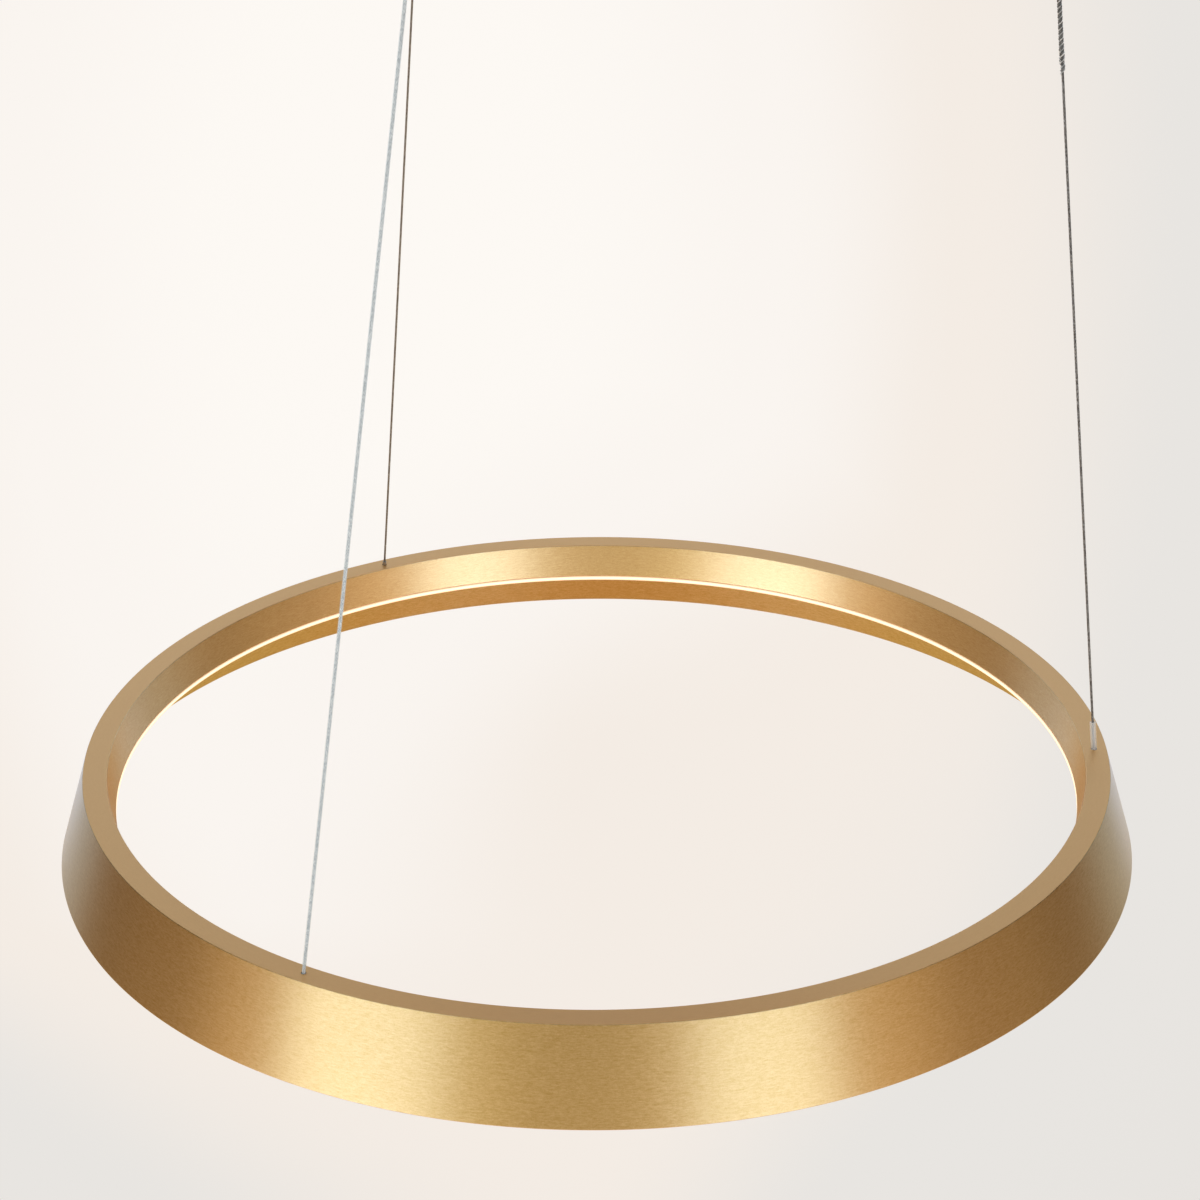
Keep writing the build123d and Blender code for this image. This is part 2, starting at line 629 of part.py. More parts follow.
for side in (-1, 1):
    for row in (-1, 1):
        port = Pos(side * length / 2, row * port_spacing / 2, -height / 2) * Rot(0, 90, 0)
        case -= port * Cylinder(lead_radius + 0.2, 4 * driver_wall)
on_plate = Pos(*driver_position, driver_top)
save("driver_case", on_plate * case)
lid = Box(length, width, driver_lid, align=(Align.CENTER, Align.CENTER, Align.MAX))
lid = fillet(lid.edges().filter_by(Axis.Z), 3.0)
for x, y in pillars:
    lid -= Pos(x, y, 0) * Cylinder(driver_screw[0] + 0.1, 3 * driver_lid)
save("driver_lid", Pos(*driver_position, lid_top) * lid)
shank_r, shank_l, screw_head_r, screw_head_h = driver_screw
screws = []
for x, y in pillars:
    body = Cylinder(shank_r, shank_l, align=(Align.CENTER, Align.CENTER, Align.MIN))
    head = Cylinder(screw_head_r, screw_head_h, align=(Align.CENTER, Align.CENTER, Align.MAX))
    head -= Pos(0, 0, -screw_head_h) * Box(0.8, 2 * screw_head_r, 1.2)
    place = Pos(driver_position[0] + x, driver_position[1] + y, driver_top - height)
    screws.append(place * (body + head))
save("driver_screws", *screws)

# Circuit board on the case's roof side, with transformer, two capacitors and a choke.
board_length, board_width, board_thickness = driver_board
board_top = driver_top - driver_wall - 1.0
board = Box(*driver_board, align=(Align.CENTER, Align.CENTER, Align.MAX))
for x, y in pillars:
    board -= Pos(x, y, 0) * Cylinder(driver_pillar + 0.4, 3 * board_thickness)
standoffs = [Pos(x, 0, 0) * Cylinder(2.0, 1.0, align=(Align.CENTER, Align.CENTER, Align.MIN))
             for x in (-board_length / 3, board_length / 3)]
for standoff in standoffs:
    board += standoff
on_board = Pos(*driver_position, board_top)
save("driver_board", on_board * board)
below = (Align.CENTER, Align.CENTER, Align.MAX)
parts_on_board = [
    Pos(4, 0, -board_thickness) * Box(20, 18, 13, align=below),
    Pos(-26, 6, -board_thickness) * Cylinder(5, 13, align=below),
    Pos(-26, -7, -board_thickness) * Cylinder(5, 13, align=below),
    Pos(28, 0, -board_thickness) * Cylinder(6, 10, align=below),
]
save("driver_parts", *[on_board * piece for piece in parts_on_board])

# --- Terminals, earth screw and leads in the canopy ----------------------------------------------

block_length, block_width, block_height = terminal_size
block = Box(*terminal_size, align=(Align.CENTER, Align.CENTER, Align.MAX))
block = fillet(block.edges().filter_by(Axis.Z), 1.0)
terminal_screws = []
ways = (-block_length / 3, 0, block_length / 3)
for x in ways:
    for y in (-block_width / 4, block_width / 4):
        block -= Pos(x, y, -block_height) * Cylinder(2.0, 12, align=(Align.CENTER,) * 3)
        screw = Cylinder(terminal_screw_radius, 4.0, align=(Align.CENTER, Align.CENTER, Align.MIN))
        screw -= Box(0.6, 2 * terminal_screw_radius, 1.0)
        seat = Pos(terminal_position[0] + x, terminal_position[1] + y, driver_top - block_height + 2.0)
        terminal_screws.append(seat * screw)
    block -= Pos(x, 0, -4.5) * Rot(90, 0, 0) * Cylinder(1.6, 2 * block_width)
save("terminal_block", Pos(*terminal_position, driver_top) * block)
save("terminal_screws", *terminal_screws)

earth = Cylinder(earth_screw_radius, plate_thickness + 6, align=(Align.CENTER, Align.CENTER, Align.MAX))
earth_head = extrude(RegularPolygon(3.5, 6, major_radius=False), 3.0)
earth_head -= Cylinder(earth_screw_radius + 0.02, 10)
earth_spot = Pos(*earth_position, 0)
save("earth_screw", earth_spot * earth)
save("earth_nut", earth_spot * Pos(0, 0, -plate_thickness - 3.0) * earth_head)

# Short leads from the terminals to the driver's input side.
port_height = driver_top - height / 2
driver_left = driver_position[0] - length / 2
driver_right = driver_position[0] + length / 2
mains = []
for way, row, out in ((0, -1, 12), (1, 1, 18)):
    x = terminal_position[0] + ways[way]
    top = terminal_position[1] + block_width / 2 - 3
    points = [
        Vector(x, top, driver_top - 4.5),
        Vector(x, top + 10 - 4 * row, driver_top - 4.5),
        Vector(driver_left - out, driver_position[1] - 18 - 6 * way, port_height),
        Vector(driver_left - out, driver_position[1] + row * port_spacing / 2 - 6, port_height),
        Vector(driver_left - 4, driver_position[1] + row * port_spacing / 2, port_height),
        Vector(driver_left + 5, driver_position[1] + row * port_spacing / 2, port_height),
    ]
    mains.append(tube(bent_path(points, largest_radii(points)), lead_radius))
save("mains_leads", *mains)

# Output leads to eyelets under the locknuts of the two live grippers.
eyelet_seat = flange_top + nut_thickness
plate_r, plate_t = eyelet_plate
crimp_r, crimp_start, crimp_length = eyelet_barrel
eyelets = []
for which, row, route in ((0, 1, output_route_right), (2, -1, output_route_front)):
    centre = gripper_centres[which]
    port = Vector(driver_right, driver_position[1] + row * port_spacing / 2, port_height)
    bends = [port + Vector(x, y, -down) for x, y, down in route]
    last = bends[-1]
    tail = (last - Vector(centre.X, centre.Y, last.Z)).normalized()
    ring = Pos(centre.X, centre.Y, eyelet_seat) * (
        Cylinder(plate_r, plate_t, align=(Align.CENTER, Align.CENTER, Align.MIN))
        - Cylinder(stem_radius + fit_gap, 4 * plate_t))
    barrel_base = Vector(centre.X, centre.Y, eyelet_seat + crimp_r) + tail * crimp_start
    crimp = Plane(origin=barrel_base, z_dir=tail) * Cylinder(
        crimp_r, crimp_length, align=(Align.CENTER, Align.CENTER, Align.MIN))
    eyelets.append(ring + crimp)
    points = [port - Vector(5, 0, 0)] + bends + [barrel_base + tail * crimp_length]
    lead = tube(bent_path(points, largest_radii(points)), lead_radius)
    save(f"output_lead_{cable_names[which]}", lead)
save("gripper_eyelets", *eyelets)
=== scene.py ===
"""Suspended LED ring with a brushed gold finish, on three slim cables from a round canopy.
Metres, +Z up; the origin is the centre of the ceiling plate's upper face."""

import math

import bpy
import numpy as np
from mathutils import Matrix, Vector


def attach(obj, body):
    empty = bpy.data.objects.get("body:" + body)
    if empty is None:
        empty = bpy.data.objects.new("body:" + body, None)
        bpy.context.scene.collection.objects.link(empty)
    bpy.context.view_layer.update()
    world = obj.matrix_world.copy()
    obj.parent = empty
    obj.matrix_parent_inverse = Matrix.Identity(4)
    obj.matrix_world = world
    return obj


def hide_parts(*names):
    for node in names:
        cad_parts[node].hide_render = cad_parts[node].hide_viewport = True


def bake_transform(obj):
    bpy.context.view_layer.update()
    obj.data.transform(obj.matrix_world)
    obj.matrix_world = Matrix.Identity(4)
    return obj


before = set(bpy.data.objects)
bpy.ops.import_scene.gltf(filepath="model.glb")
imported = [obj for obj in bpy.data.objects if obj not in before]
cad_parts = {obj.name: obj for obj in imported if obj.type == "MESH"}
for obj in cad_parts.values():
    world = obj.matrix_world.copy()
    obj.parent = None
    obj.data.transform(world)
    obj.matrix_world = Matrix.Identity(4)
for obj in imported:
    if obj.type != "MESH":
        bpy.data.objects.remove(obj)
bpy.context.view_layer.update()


# --- Camera --------------------------------------------------------------------------------------
# A long lens looks down at the ring from in front, as the photograph does: its place and its tilt
# come from fitting the ring's circles, in units of the ring's top radius.

RING_TOP_RADIUS = 0.285
RING_AXIS = np.array([-0.0188, 0.0, 0.0])
RING_TOP = -0.556
CAMERA_BACK, CAMERA_UP = 5.48905 * RING_TOP_RADIUS, 2.91363 * RING_TOP_RADIUS
CAMERA_PITCH, CAMERA_YAW, CAMERA_ROLL = 0.44201, 0.00151, -0.00414
FOCAL_PIXELS, FRAME_PIXELS = 3157.93, 1200

forward = Vector((math.sin(CAMERA_YAW) * math.cos(CAMERA_PITCH),
                  math.cos(CAMERA_YAW) * math.cos(CAMERA_PITCH), -math.sin(CAMERA_PITCH)))
level = Vector((math.cos(CAMERA_YAW), -math.sin(CAMERA_YAW), 0))
above = level.cross(forward)
right = math.cos(CAMERA_ROLL) * level + math.sin(CAMERA_ROLL) * above
upward = -math.sin(CAMERA_ROLL) * level + math.cos(CAMERA_ROLL) * above
camera_data = bpy.data.cameras.new("camera")
camera_data.sensor_width = 36
camera_data.sensor_height = 36
camera_data.lens = camera_data.sensor_width * FOCAL_PIXELS / FRAME_PIXELS
camera_data.clip_end = 50
camera = bpy.data.objects.new("camera", camera_data)
camera.matrix_world = Matrix.Translation((RING_AXIS[0], -CAMERA_BACK, RING_TOP + CAMERA_UP)) @ Matrix(
    (right, upward, -forward)).transposed().to_4x4()
bpy.context.collection.objects.link(camera)
bpy.context.scene.camera = camera
bpy.context.scene.view_settings.view_transform = "Standard"


# --- Suspension cables ---------------------------------------------------------------------------
# Three stranded wire ropes run taut from the ring to the grippers: two bare steel ones and, at the
# front left, the tinned feed rope in a clear jacket. Each bends only at its gripper's mouth.

CABLES = ("right", "rear", "front")
CABLE_RADIUS = {"right": 0.00070, "rear": 0.00065, "front": 0.00105}
FEED_ROPE_RADIUS = 0.00082
ANCHOR_AZIMUTH = {name: -1.4 + 120 * k for k, name in enumerate(CABLES)}
GRIPPER_AZIMUTH = {name: 1.91 + 120 * k for k, name in enumerate(CABLES)}
ANCHOR_CIRCLE, GRIPPER_CIRCLE = 0.278, 0.2088
BUSH_DEPTH = 0.001
SHANK_TOP = {"right": -0.0002, "rear": 0.0034, "front": 0.0003}
MOUTH_HEIGHT, CABLE_TOP = -0.056, -0.018
ROPE_LAY = 7.5
ROPE_STRANDS = 6
ROPE_SPACING, JACKET_SPACING, JACKET_SIDES = 0.0006, 0.004, 20


def around(radius, azimuth, height, centre=(0, 0, 0)):
    """The point at a radius and an azimuth in degrees about an upright axis."""
    turn = np.radians(azimuth)
    return np.array([radius * np.cos(turn), radius * np.sin(turn), height]) + np.asarray(centre)


def new_piece(name, points, faces, smooth=True):
    """A mesh object at the origin from its points and its faces, given as lists of their numbers."""
    mesh = bpy.data.meshes.new(name)
    mesh.from_pydata(np.asarray(points, float).tolist(), [], [list(map(int, face)) for face in faces])
    mesh.polygons.foreach_set("use_smooth", np.full(len(mesh.polygons), smooth))
    mesh.update()
    piece = bpy.data.objects.new(name, mesh)
    bpy.context.collection.objects.link(piece)
    return piece


def grid_faces(rows, columns, wrap_rows=False):
    """Quads of a grid whose point (row, column) has the number row * columns + column. Its columns
    close on themselves, and its rows too where that is asked for."""
    row, column = np.meshgrid(np.arange(rows if wrap_rows else rows - 1), np.arange(columns),
                              indexing="ij")
    below, beside = (row + 1) % rows, (column + 1) % columns
    return np.stack([row * columns + column, row * columns + beside,
                     below * columns + beside, below * columns + column], -1).reshape(-1, 4)


def spline_points(name, controls):
    """The route's smooth line: a NURBS curve of order 3 through its control points, as a mesh's points."""
    curve = bpy.data.curves.new(name, "CURVE")
    curve.dimensions = "3D"
    curve.resolution_u = 16
    spline = curve.splines.new("NURBS")
    spline.points.add(len(controls) - 1)
    weighted = np.column_stack([np.asarray(controls, float), np.ones(len(controls))])
    spline.points.foreach_set("co", weighted.ravel())
    spline.order_u = 3
    spline.use_endpoint_u = True
    holder = bpy.data.objects.new(name, curve)
    bpy.context.collection.objects.link(holder)
    bpy.context.view_layer.update()
    mesh = bpy.data.meshes.new_from_object(holder)
    points = np.empty(3 * len(mesh.vertices))
    mesh.vertices.foreach_get("co", points)
    bpy.data.objects.remove(holder)
    bpy.data.curves.remove(curve)
    bpy.data.meshes.remove(mesh)
    return points.reshape(-1, 3)


def evenly(points, spacing):
    """The same line with its points spaced evenly along its length, and that length."""
    runs = np.linalg.norm(np.diff(points, axis=0), axis=1)
    length = np.concatenate([[0], np.cumsum(runs)])
    stations = np.linspace(0, length[-1], max(4, int(length[-1] / spacing)))
    return np.stack([np.interp(stations, length, points[:, k]) for k in range(3)], -1), length[-1]


def frames_along(points):
    """Two unit vectors square to the line at each point, carried along it from a fixed one."""
    tangent = np.gradient(points, axis=0)
    tangent /= np.linalg.norm(tangent, axis=1)[:, None]
    side = np.cross(tangent, np.cross((0.31, 0.95, 0.02), tangent))
    side /= np.linalg.norm(side, axis=1)[:, None]
    return side, np.cross(tangent, side)


def round_wall(points, radius, sides, lay_radius=0.0, lay_pitch=1.0, start=0.0):
    """Points and faces of a closed round bar: a circle of sides points, carried along a line that
    winds round the given one at lay_radius, once in lay_pitch metres."""
    side, other = frames_along(points)
    travelled = np.concatenate([[0], np.cumsum(np.linalg.norm(np.diff(points, axis=0), axis=1))])
    phase = start + 2 * np.pi * travelled / lay_pitch
    centre = points + lay_radius * (np.cos(phase)[:, None] * side + np.sin(phase)[:, None] * other)
    ring = 2 * np.pi * np.arange(sides) / sides
    across, over = frames_along(centre)
    wall = centre[:, None] + radius * (np.cos(ring)[None, :, None] * across[:, None]
                                       + np.sin(ring)[None, :, None] * over[:, None])
    rows = len(points)
    caps = np.stack([centre[0], centre[-1]])
    faces = grid_faces(rows, sides).tolist()
    first, last, column = rows * sides, rows * sides + 1, np.arange(sides)
    faces += np.stack([np.full(sides, first), (column + 1) % sides, column], -1).tolist()
    top = (rows - 1) * sides
    faces += np.stack([np.full(sides, last), top + column, top + (column + 1) % sides], -1).tolist()
    return np.concatenate([wall.reshape(-1, 3), caps]), faces


def join_walls(walls):
    """One set of points and faces from several."""
    points, faces, count = [], [], 0
    for wall_points, wall_faces in walls:
        points.append(wall_points)
        faces += [[index + count for index in face] for face in wall_faces]
        count += len(wall_points)
    return np.concatenate(points), faces


def mark(piece, name, values):
    """Keeps one number for each point of a piece, for its material to read."""
    piece.data.attributes.new(name, "FLOAT", "POINT").data.foreach_set("value", np.asarray(values, float))


def rope(name, line, radius):
    """A wire rope: strands wound round a straight core, each as thick as a third of the rope. Its "crown" is
    1 on the strands' outer backs and falls to 0 in the grooves between them, which its finish darkens with
    painted shade."""
    points, _ = evenly(line, ROPE_SPACING)
    strand = radius / 3
    walls = [round_wall(points, strand * 0.96, 6)]
    for k in range(ROPE_STRANDS):
        walls.append(round_wall(points, strand, 8, 2 * strand, ROPE_LAY * 2 * radius,
                                2 * np.pi * k / ROPE_STRANDS))
    crown = []
    for wall_points, _ in walls:
        sides = (len(wall_points) - 2) // len(points)
        rows = wall_points[:-2].reshape(len(points), sides, 3)
        away = np.linalg.norm(rows - points[:, None], axis=2).ravel()
        crown.append(np.append(away, [0, 0]))
    piece = new_piece(name, *join_walls(walls))
    mark(piece, "crown", np.clip((np.concatenate(crown) / radius - 0.62) / 0.3, 0, 1))
    return piece


def linear(code):
    """An sRGB hex colour as linear red, green, blue and full alpha."""
    value = np.array([int(code[k:k + 2], 16) for k in (1, 3, 5)]) / 255
    value = np.where(value <= 0.04045, value / 12.92, ((value + 0.055) / 1.055) ** 2.4)
    return (*value, 1.0)


def add_node(tree, kind, inputs=None, **settings):
    """Adds a node with its settings; each input takes a value or another node's output."""
    made = tree.nodes.new(kind)
    for name, value in settings.items():
        setattr(made, name, value)
    for socket, value in (inputs or {}).items():
        if isinstance(value, bpy.types.NodeSocket):
            tree.links.new(value, made.inputs[socket])
        else:
            made.inputs[socket].default_value = value
    return made


def start_material(name, **shader):
    """A new material's tree, its shader with the given socket values, and its object coordinates."""
    material = bpy.data.materials.new(name)
    material.use_nodes = True
    tree = material.node_tree
    surface = next(node for node in tree.nodes if node.type == "BSDF_PRINCIPLED")
    for socket, value in shader.items():
        surface.inputs[socket.replace("_", " ")].default_value = value
    place = add_node(tree, "ShaderNodeTexCoord").outputs["Object"]
    return material, tree, surface, place


def noise(tree, place, per_metre, detail=3.0, roughness=0.55):
    """Noise of so many features to the metre."""
    made = add_node(tree, "ShaderNodeTexNoise", {"Vector": place, "Scale": per_metre,
                                                 "Detail": detail, "Roughness": roughness})
    return made.outputs["Fac"]


def spread(tree, value, low, high, out_low=0.0, out_high=1.0):
    """A value carried from one range to another, held at its ends."""
    made = add_node(tree, "ShaderNodeMapRange", {"Value": value, "From Min": low, "From Max": high,
                                                 "To Min": out_low, "To Max": out_high})
    return made.outputs["Result"]


def blend_colours(tree, amount, first, second):
    """A colour between two hex colours by an amount."""
    made = add_node(tree, "ShaderNodeMix", {"Factor": amount, 6: linear(first), 7: linear(second)},
                    data_type="RGBA")
    return made.outputs[2]


def bumped(tree, surface, height, distance):
    """Raises the surface by a height pattern of so many metres."""
    made = add_node(tree, "ShaderNodeBump", {"Height": height, "Distance": distance, "Strength": 1.0})
    tree.links.new(made.outputs["Normal"], surface.inputs["Normal"])


def wire_rope_finish(name, bright, dark, grease_and_groove_shade, roughness, metallic, per_metre=900):
    """Drawn wire: bright along the strands' backs, dark in the grooves between them, which are partly greased
    and partly painted shade, and fine drawing marks."""
    material, tree, surface, place = start_material(name, Metallic=metallic, Roughness=roughness)
    shade = spread(tree, noise(tree, place, per_metre, 2), 0.38, 0.62)
    drawn = blend_colours(tree, shade, dark, bright)
    crown = add_node(tree, "ShaderNodeAttribute", attribute_name="crown").outputs["Fac"]
    # Painted shade: the grooves, where the crown is 0, take the dark groove colour.
    mixed = add_node(tree, "ShaderNodeMix", {"Factor": crown, 6: linear(grease_and_groove_shade), 7: drawn}, data_type="RGBA")
    tree.links.new(mixed.outputs[2], surface.inputs["Base Color"])
    bumped(tree, surface, noise(tree, place, 4000, 2), 0.00003)
    return material


# The right and rear cables are the same bare steel; the right one's darker, cooler tones are painted shade.
steel_rope = wire_rope_finish("drawn_steel_rope", "#a3a29f", "#73716e", "#3c3a38", 0.38, 0.7)
shaded_steel_rope = wire_rope_finish("steel_rope_painted_darker", "#9aa0a8", "#5c6067", "#2c2b2b", 0.42, 0.7)
tinned_rope = wire_rope_finish("tinned_feed_rope", "#edf5fa", "#b9c8d2", "#3b444b", 0.35, 0.0)
ROPE_FINISH = {"right": shaded_steel_rope, "rear": steel_rope, "front": tinned_rope}

# Clear PVC, extruded over the rope: almost colourless, with a faint cool tint and drawn-in ripples.
# It is clear by Alpha and doesn't bend the light, so that light reaches the rope inside.
clear_jacket, jacket_tree, jacket_surface, jacket_place = start_material(
    "clear_pvc_jacket", Roughness=0.12, Alpha=0.2, IOR=1.4, Base_Color=linear("#f4fbff"))
bumped(jacket_tree, jacket_surface, noise(jacket_tree, jacket_place, 700, 2), 0.00004)

anchor_point, mouth_point, cable_line = {}, {}, {}
for cable in CABLES:
    seat = around(ANCHOR_CIRCLE, ANCHOR_AZIMUTH[cable], RING_TOP - BUSH_DEPTH, RING_AXIS)
    mouth = around(GRIPPER_CIRCLE, GRIPPER_AZIMUTH[cable], MOUTH_HEIGHT)
    along = (mouth - seat) / np.linalg.norm(mouth - seat)
    diameter = 2 * CABLE_RADIUS[cable]
    low = seat + along * SHANK_TOP[cable]
    top = np.array([mouth[0], mouth[1], CABLE_TOP])
    line = spline_points(f"route_{cable}", [low, mouth - along * 6 * diameter, mouth, top])
    anchor_point[cable], mouth_point[cable], cable_line[cable] = low, mouth, line
    rope_radius = FEED_ROPE_RADIUS if cable == "front" else CABLE_RADIUS[cable]
    strands = rope(f"cable_{cable}_strands", line, rope_radius)
    strands.data.materials.append(ROPE_FINISH[cable])
    measured, cable_length = evenly(line, JACKET_SPACING)
    if cable == "front":
        wall_points, wall_faces = round_wall(measured, CABLE_RADIUS[cable], JACKET_SIDES)
        whole = new_piece("cable_front_jacket", wall_points, wall_faces)
        whole.data.materials.append(clear_jacket)
        pieces = [strands]
    else:
        whole, pieces = strands, []
    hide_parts(f"cable_{cable}")
    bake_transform(whole)
    for extra in pieces:
        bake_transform(extra)


# --- Wound strand --------------------------------------------------------------------------------
# The right cable's spare end is unlaid at its gripper, and its strands are laid back down the cable
# side by side, wound round it by hand; their cut ends stay bare and stop one after another.

STRAND_RADIUS, STRAND_SIDES, STRAND_GAP = 0.0003, 10, 0.00005
STRAND_CIRCLE = CABLE_RADIUS["right"] + STRAND_GAP + STRAND_RADIUS
STRAND_PITCH, STRAND_START, STRAND_END = 0.0056, 0.012, 0.110
POINTS_PER_TURN = 16
LAID_STRANDS, STRAND_STAGGER, LAID_REACH, LAID_BULGE = 4, 0.0016, 0.0085, 0.0002
BULGE_PLACE, BULGE_SPREAD = 0.001, 0.009
STRAND_SPACING, LAID_SPACING = 0.0005, 0.0003
# Painted highlight and shade: the sheen scales each strand's crown, so that some strands show bright and some
# dark.
# How brightly each strand's back shows, set so that light and dark alternate as photographed.
WOUND_SHEEN, LAID_SHEEN = 0.25, {1: 1.0, 2: 0.3, 3: 1.0}

strand_axis = anchor_point["right"] - mouth_point["right"]
strand_axis = -strand_axis / np.linalg.norm(strand_axis)
outward = around(1, GRIPPER_AZIMUTH["right"], 0)
outward -= strand_axis * outward.dot(strand_axis)
outward /= np.linalg.norm(outward)
beside = np.cross(strand_axis, outward)
quarters = round(4 * (STRAND_END - STRAND_START) / STRAND_PITCH)
angle = np.arange(quarters * POINTS_PER_TURN // 4 + 1) * 2 * np.pi / POINTS_PER_TURN
strand_route = (mouth_point["right"] - strand_axis * STRAND_END
                + STRAND_CIRCLE * (np.cos(angle)[:, None] * outward + np.sin(angle)[:, None] * beside)
                + strand_axis * (STRAND_PITCH * angle / (2 * np.pi))[:, None])
strand_line = spline_points("route_strand", strand_route)
strand_points, strand_length = evenly(strand_line, STRAND_SPACING)
wound_wall = round_wall(strand_points, STRAND_RADIUS, STRAND_SIDES)
wound_strand = new_piece("wound_strand", *wound_wall)
strand_foot = mouth_point["right"] - strand_axis * STRAND_END


def crown_of(points):
    """1 on a wound strand's outer back, 0 on its sides, where it meets the next one and its finish paints
    shade.
    """
    offset = points - strand_foot
    offset = offset - (offset @ strand_axis)[:, None] * strand_axis
    return np.clip((np.linalg.norm(offset, axis=1) - STRAND_CIRCLE) / (0.85 * STRAND_RADIUS), 0, 1)


laid, laid_crown = [], []
for k in range(1, LAID_STRANDS):
    cut_end = -LAID_REACH + STRAND_STAGGER * ((3 * k) % LAID_STRANDS)
    climb = np.arange(cut_end, STRAND_END - STRAND_START, LAID_SPACING)
    angle = 2 * np.pi * (climb / STRAND_PITCH + k / LAID_STRANDS)
    away = STRAND_CIRCLE + LAID_BULGE * np.exp(-((climb - BULGE_PLACE) / BULGE_SPREAD) ** 2)
    turned = np.cos(angle)[:, None] * outward + np.sin(angle)[:, None] * beside
    laid_route = strand_foot + away[:, None] * turned + climb[:, None] * strand_axis
    laid.append(round_wall(laid_route, STRAND_RADIUS, STRAND_SIDES))
    laid_crown.append(crown_of(laid[-1][0]) ** 0.5 * LAID_SHEEN[k])
laid_strands = new_piece("laid_strands", *join_walls(laid))
mark(laid_strands, "crown", np.concatenate(laid_crown))
mark(wound_strand, "crown", WOUND_SHEEN * crown_of(wound_wall[0]))
# The strands are the right cable's own steel in a whiter tone; their bright backs are painted highlights and
# their sides painted shade.
laid_steel = wire_rope_finish("laid_steel_strand", "#ffffff", "#a4abb1", "#232527", 0.34, 0.0, 500)
for piece in (wound_strand, laid_strands):
    piece.data.materials.append(laid_steel)
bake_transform(laid_strands)
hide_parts("wound_strand_right")
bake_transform(wound_strand)


# --- Ring housing --------------------------------------------------------------------------------
# Rolled and welded aluminium profile with a flat top, a short inner wall and a tall flared skirt.
# It is brushed round the ring with an abrasive belt, then anodised gold; the top is finer and duller.

RING_TURNS = 720
TOP_WIDTH, RING_HEIGHT, SKIRT_FLARE, SKIRT_WALL = 0.01335, 0.0503, 0.01505, 0.00125
WEB_HEIGHT, WEB_TAPER, WEB_WALL, TOP_PLATE = 0.01966, 0.00375, 0.0016, 0.0025
EDGE_ROUND, CHANNEL_ROUND = 0.00035, 0.0006
skirt_slope, web_slope = SKIRT_FLARE / RING_HEIGHT, WEB_TAPER / WEB_HEIGHT
skirt_across, web_across = SKIRT_WALL * math.hypot(1, skirt_slope), WEB_WALL * math.hypot(1, web_slope)


def skirt_outside(depth):
    """Radius of the outer wall at a height below the top face."""
    return RING_TOP_RADIUS - skirt_slope * depth


def web_inside(depth):
    """Radius of the inner wall at a height below the top face."""
    return RING_TOP_RADIUS - TOP_WIDTH + web_slope * depth


def rounded_outline(corners, radii, steps=6, support=0.0004):
    """A closed outline with each corner turned to an arc of its radius. Next to each arc comes one
    more point on the flat, so that smooth shading stays flat between the arcs."""
    corners = np.asarray(corners, float)
    outline = []
    for index, radius in enumerate(radii):
        here = corners[index]
        before, after = corners[index - 1] - here, corners[(index + 1) % len(corners)] - here
        reach_before, reach_after = np.linalg.norm(before), np.linalg.norm(after)
        before, after = before / reach_before, after / reach_after
        half = math.acos(np.clip(before.dot(after), -1, 1)) / 2
        cut = radius / math.tan(half)
        middle = (before + after) / np.linalg.norm(before + after)
        centre = here + middle * radius / math.sin(half)
        first, last = here + before * cut - centre, here + after * cut - centre
        blend_steps = np.linspace(0, 1, steps + 1)
        turn = math.acos(np.clip(first.dot(last) / radius ** 2, -1, 1))
        arc = (np.sin((1 - blend_steps) * turn)[:, None] * first
               + np.sin(blend_steps * turn)[:, None] * last) / math.sin(turn) + centre
        if reach_before > 2 * (cut + support):
            outline.append(here + before * (cut + support))
        outline.extend(arc)
        if reach_after > 2 * (cut + support):
            outline.append(here + after * (cut + support))
    return np.array(outline)


def lathe(name, outline, turns=RING_TURNS):
    """A closed outline of (radius, height) points turned once about the ring's upright axis. The
    outline runs clockwise, seen with the radius to the right, so that the faces point outwards."""
    turn = 2 * np.pi * np.arange(turns) / turns
    radius, rise = outline[:, 0], outline[:, 1]
    points = np.stack([RING_AXIS[0] + np.cos(turn)[:, None] * radius,
                       RING_AXIS[1] + np.sin(turn)[:, None] * radius,
                       np.broadcast_to(rise + RING_TOP, (turns, len(outline)))], -1)
    faces = grid_faces(turns, len(outline), wrap_rows=True)
    return new_piece(name, points.reshape(-1, 3), faces)


foot_lift = SKIRT_WALL * skirt_slope / math.hypot(1, skirt_slope)
housing_corners = [
    (web_inside(0), 0), (RING_TOP_RADIUS, 0), (skirt_outside(-RING_HEIGHT), -RING_HEIGHT),
    (skirt_outside(-RING_HEIGHT - foot_lift) - skirt_across, -RING_HEIGHT - foot_lift),
    (skirt_outside(-TOP_PLATE) - skirt_across, -TOP_PLATE), (web_inside(-TOP_PLATE) + web_across, -TOP_PLATE),
    (web_inside(-WEB_HEIGHT) + web_across, -WEB_HEIGHT), (web_inside(-WEB_HEIGHT), -WEB_HEIGHT)]
housing_rounds = [EDGE_ROUND] * 4 + [CHANNEL_ROUND] * 2 + [EDGE_ROUND] * 2
housing_outline = rounded_outline(housing_corners, housing_rounds)
housing = lathe("ring_profile", housing_outline)


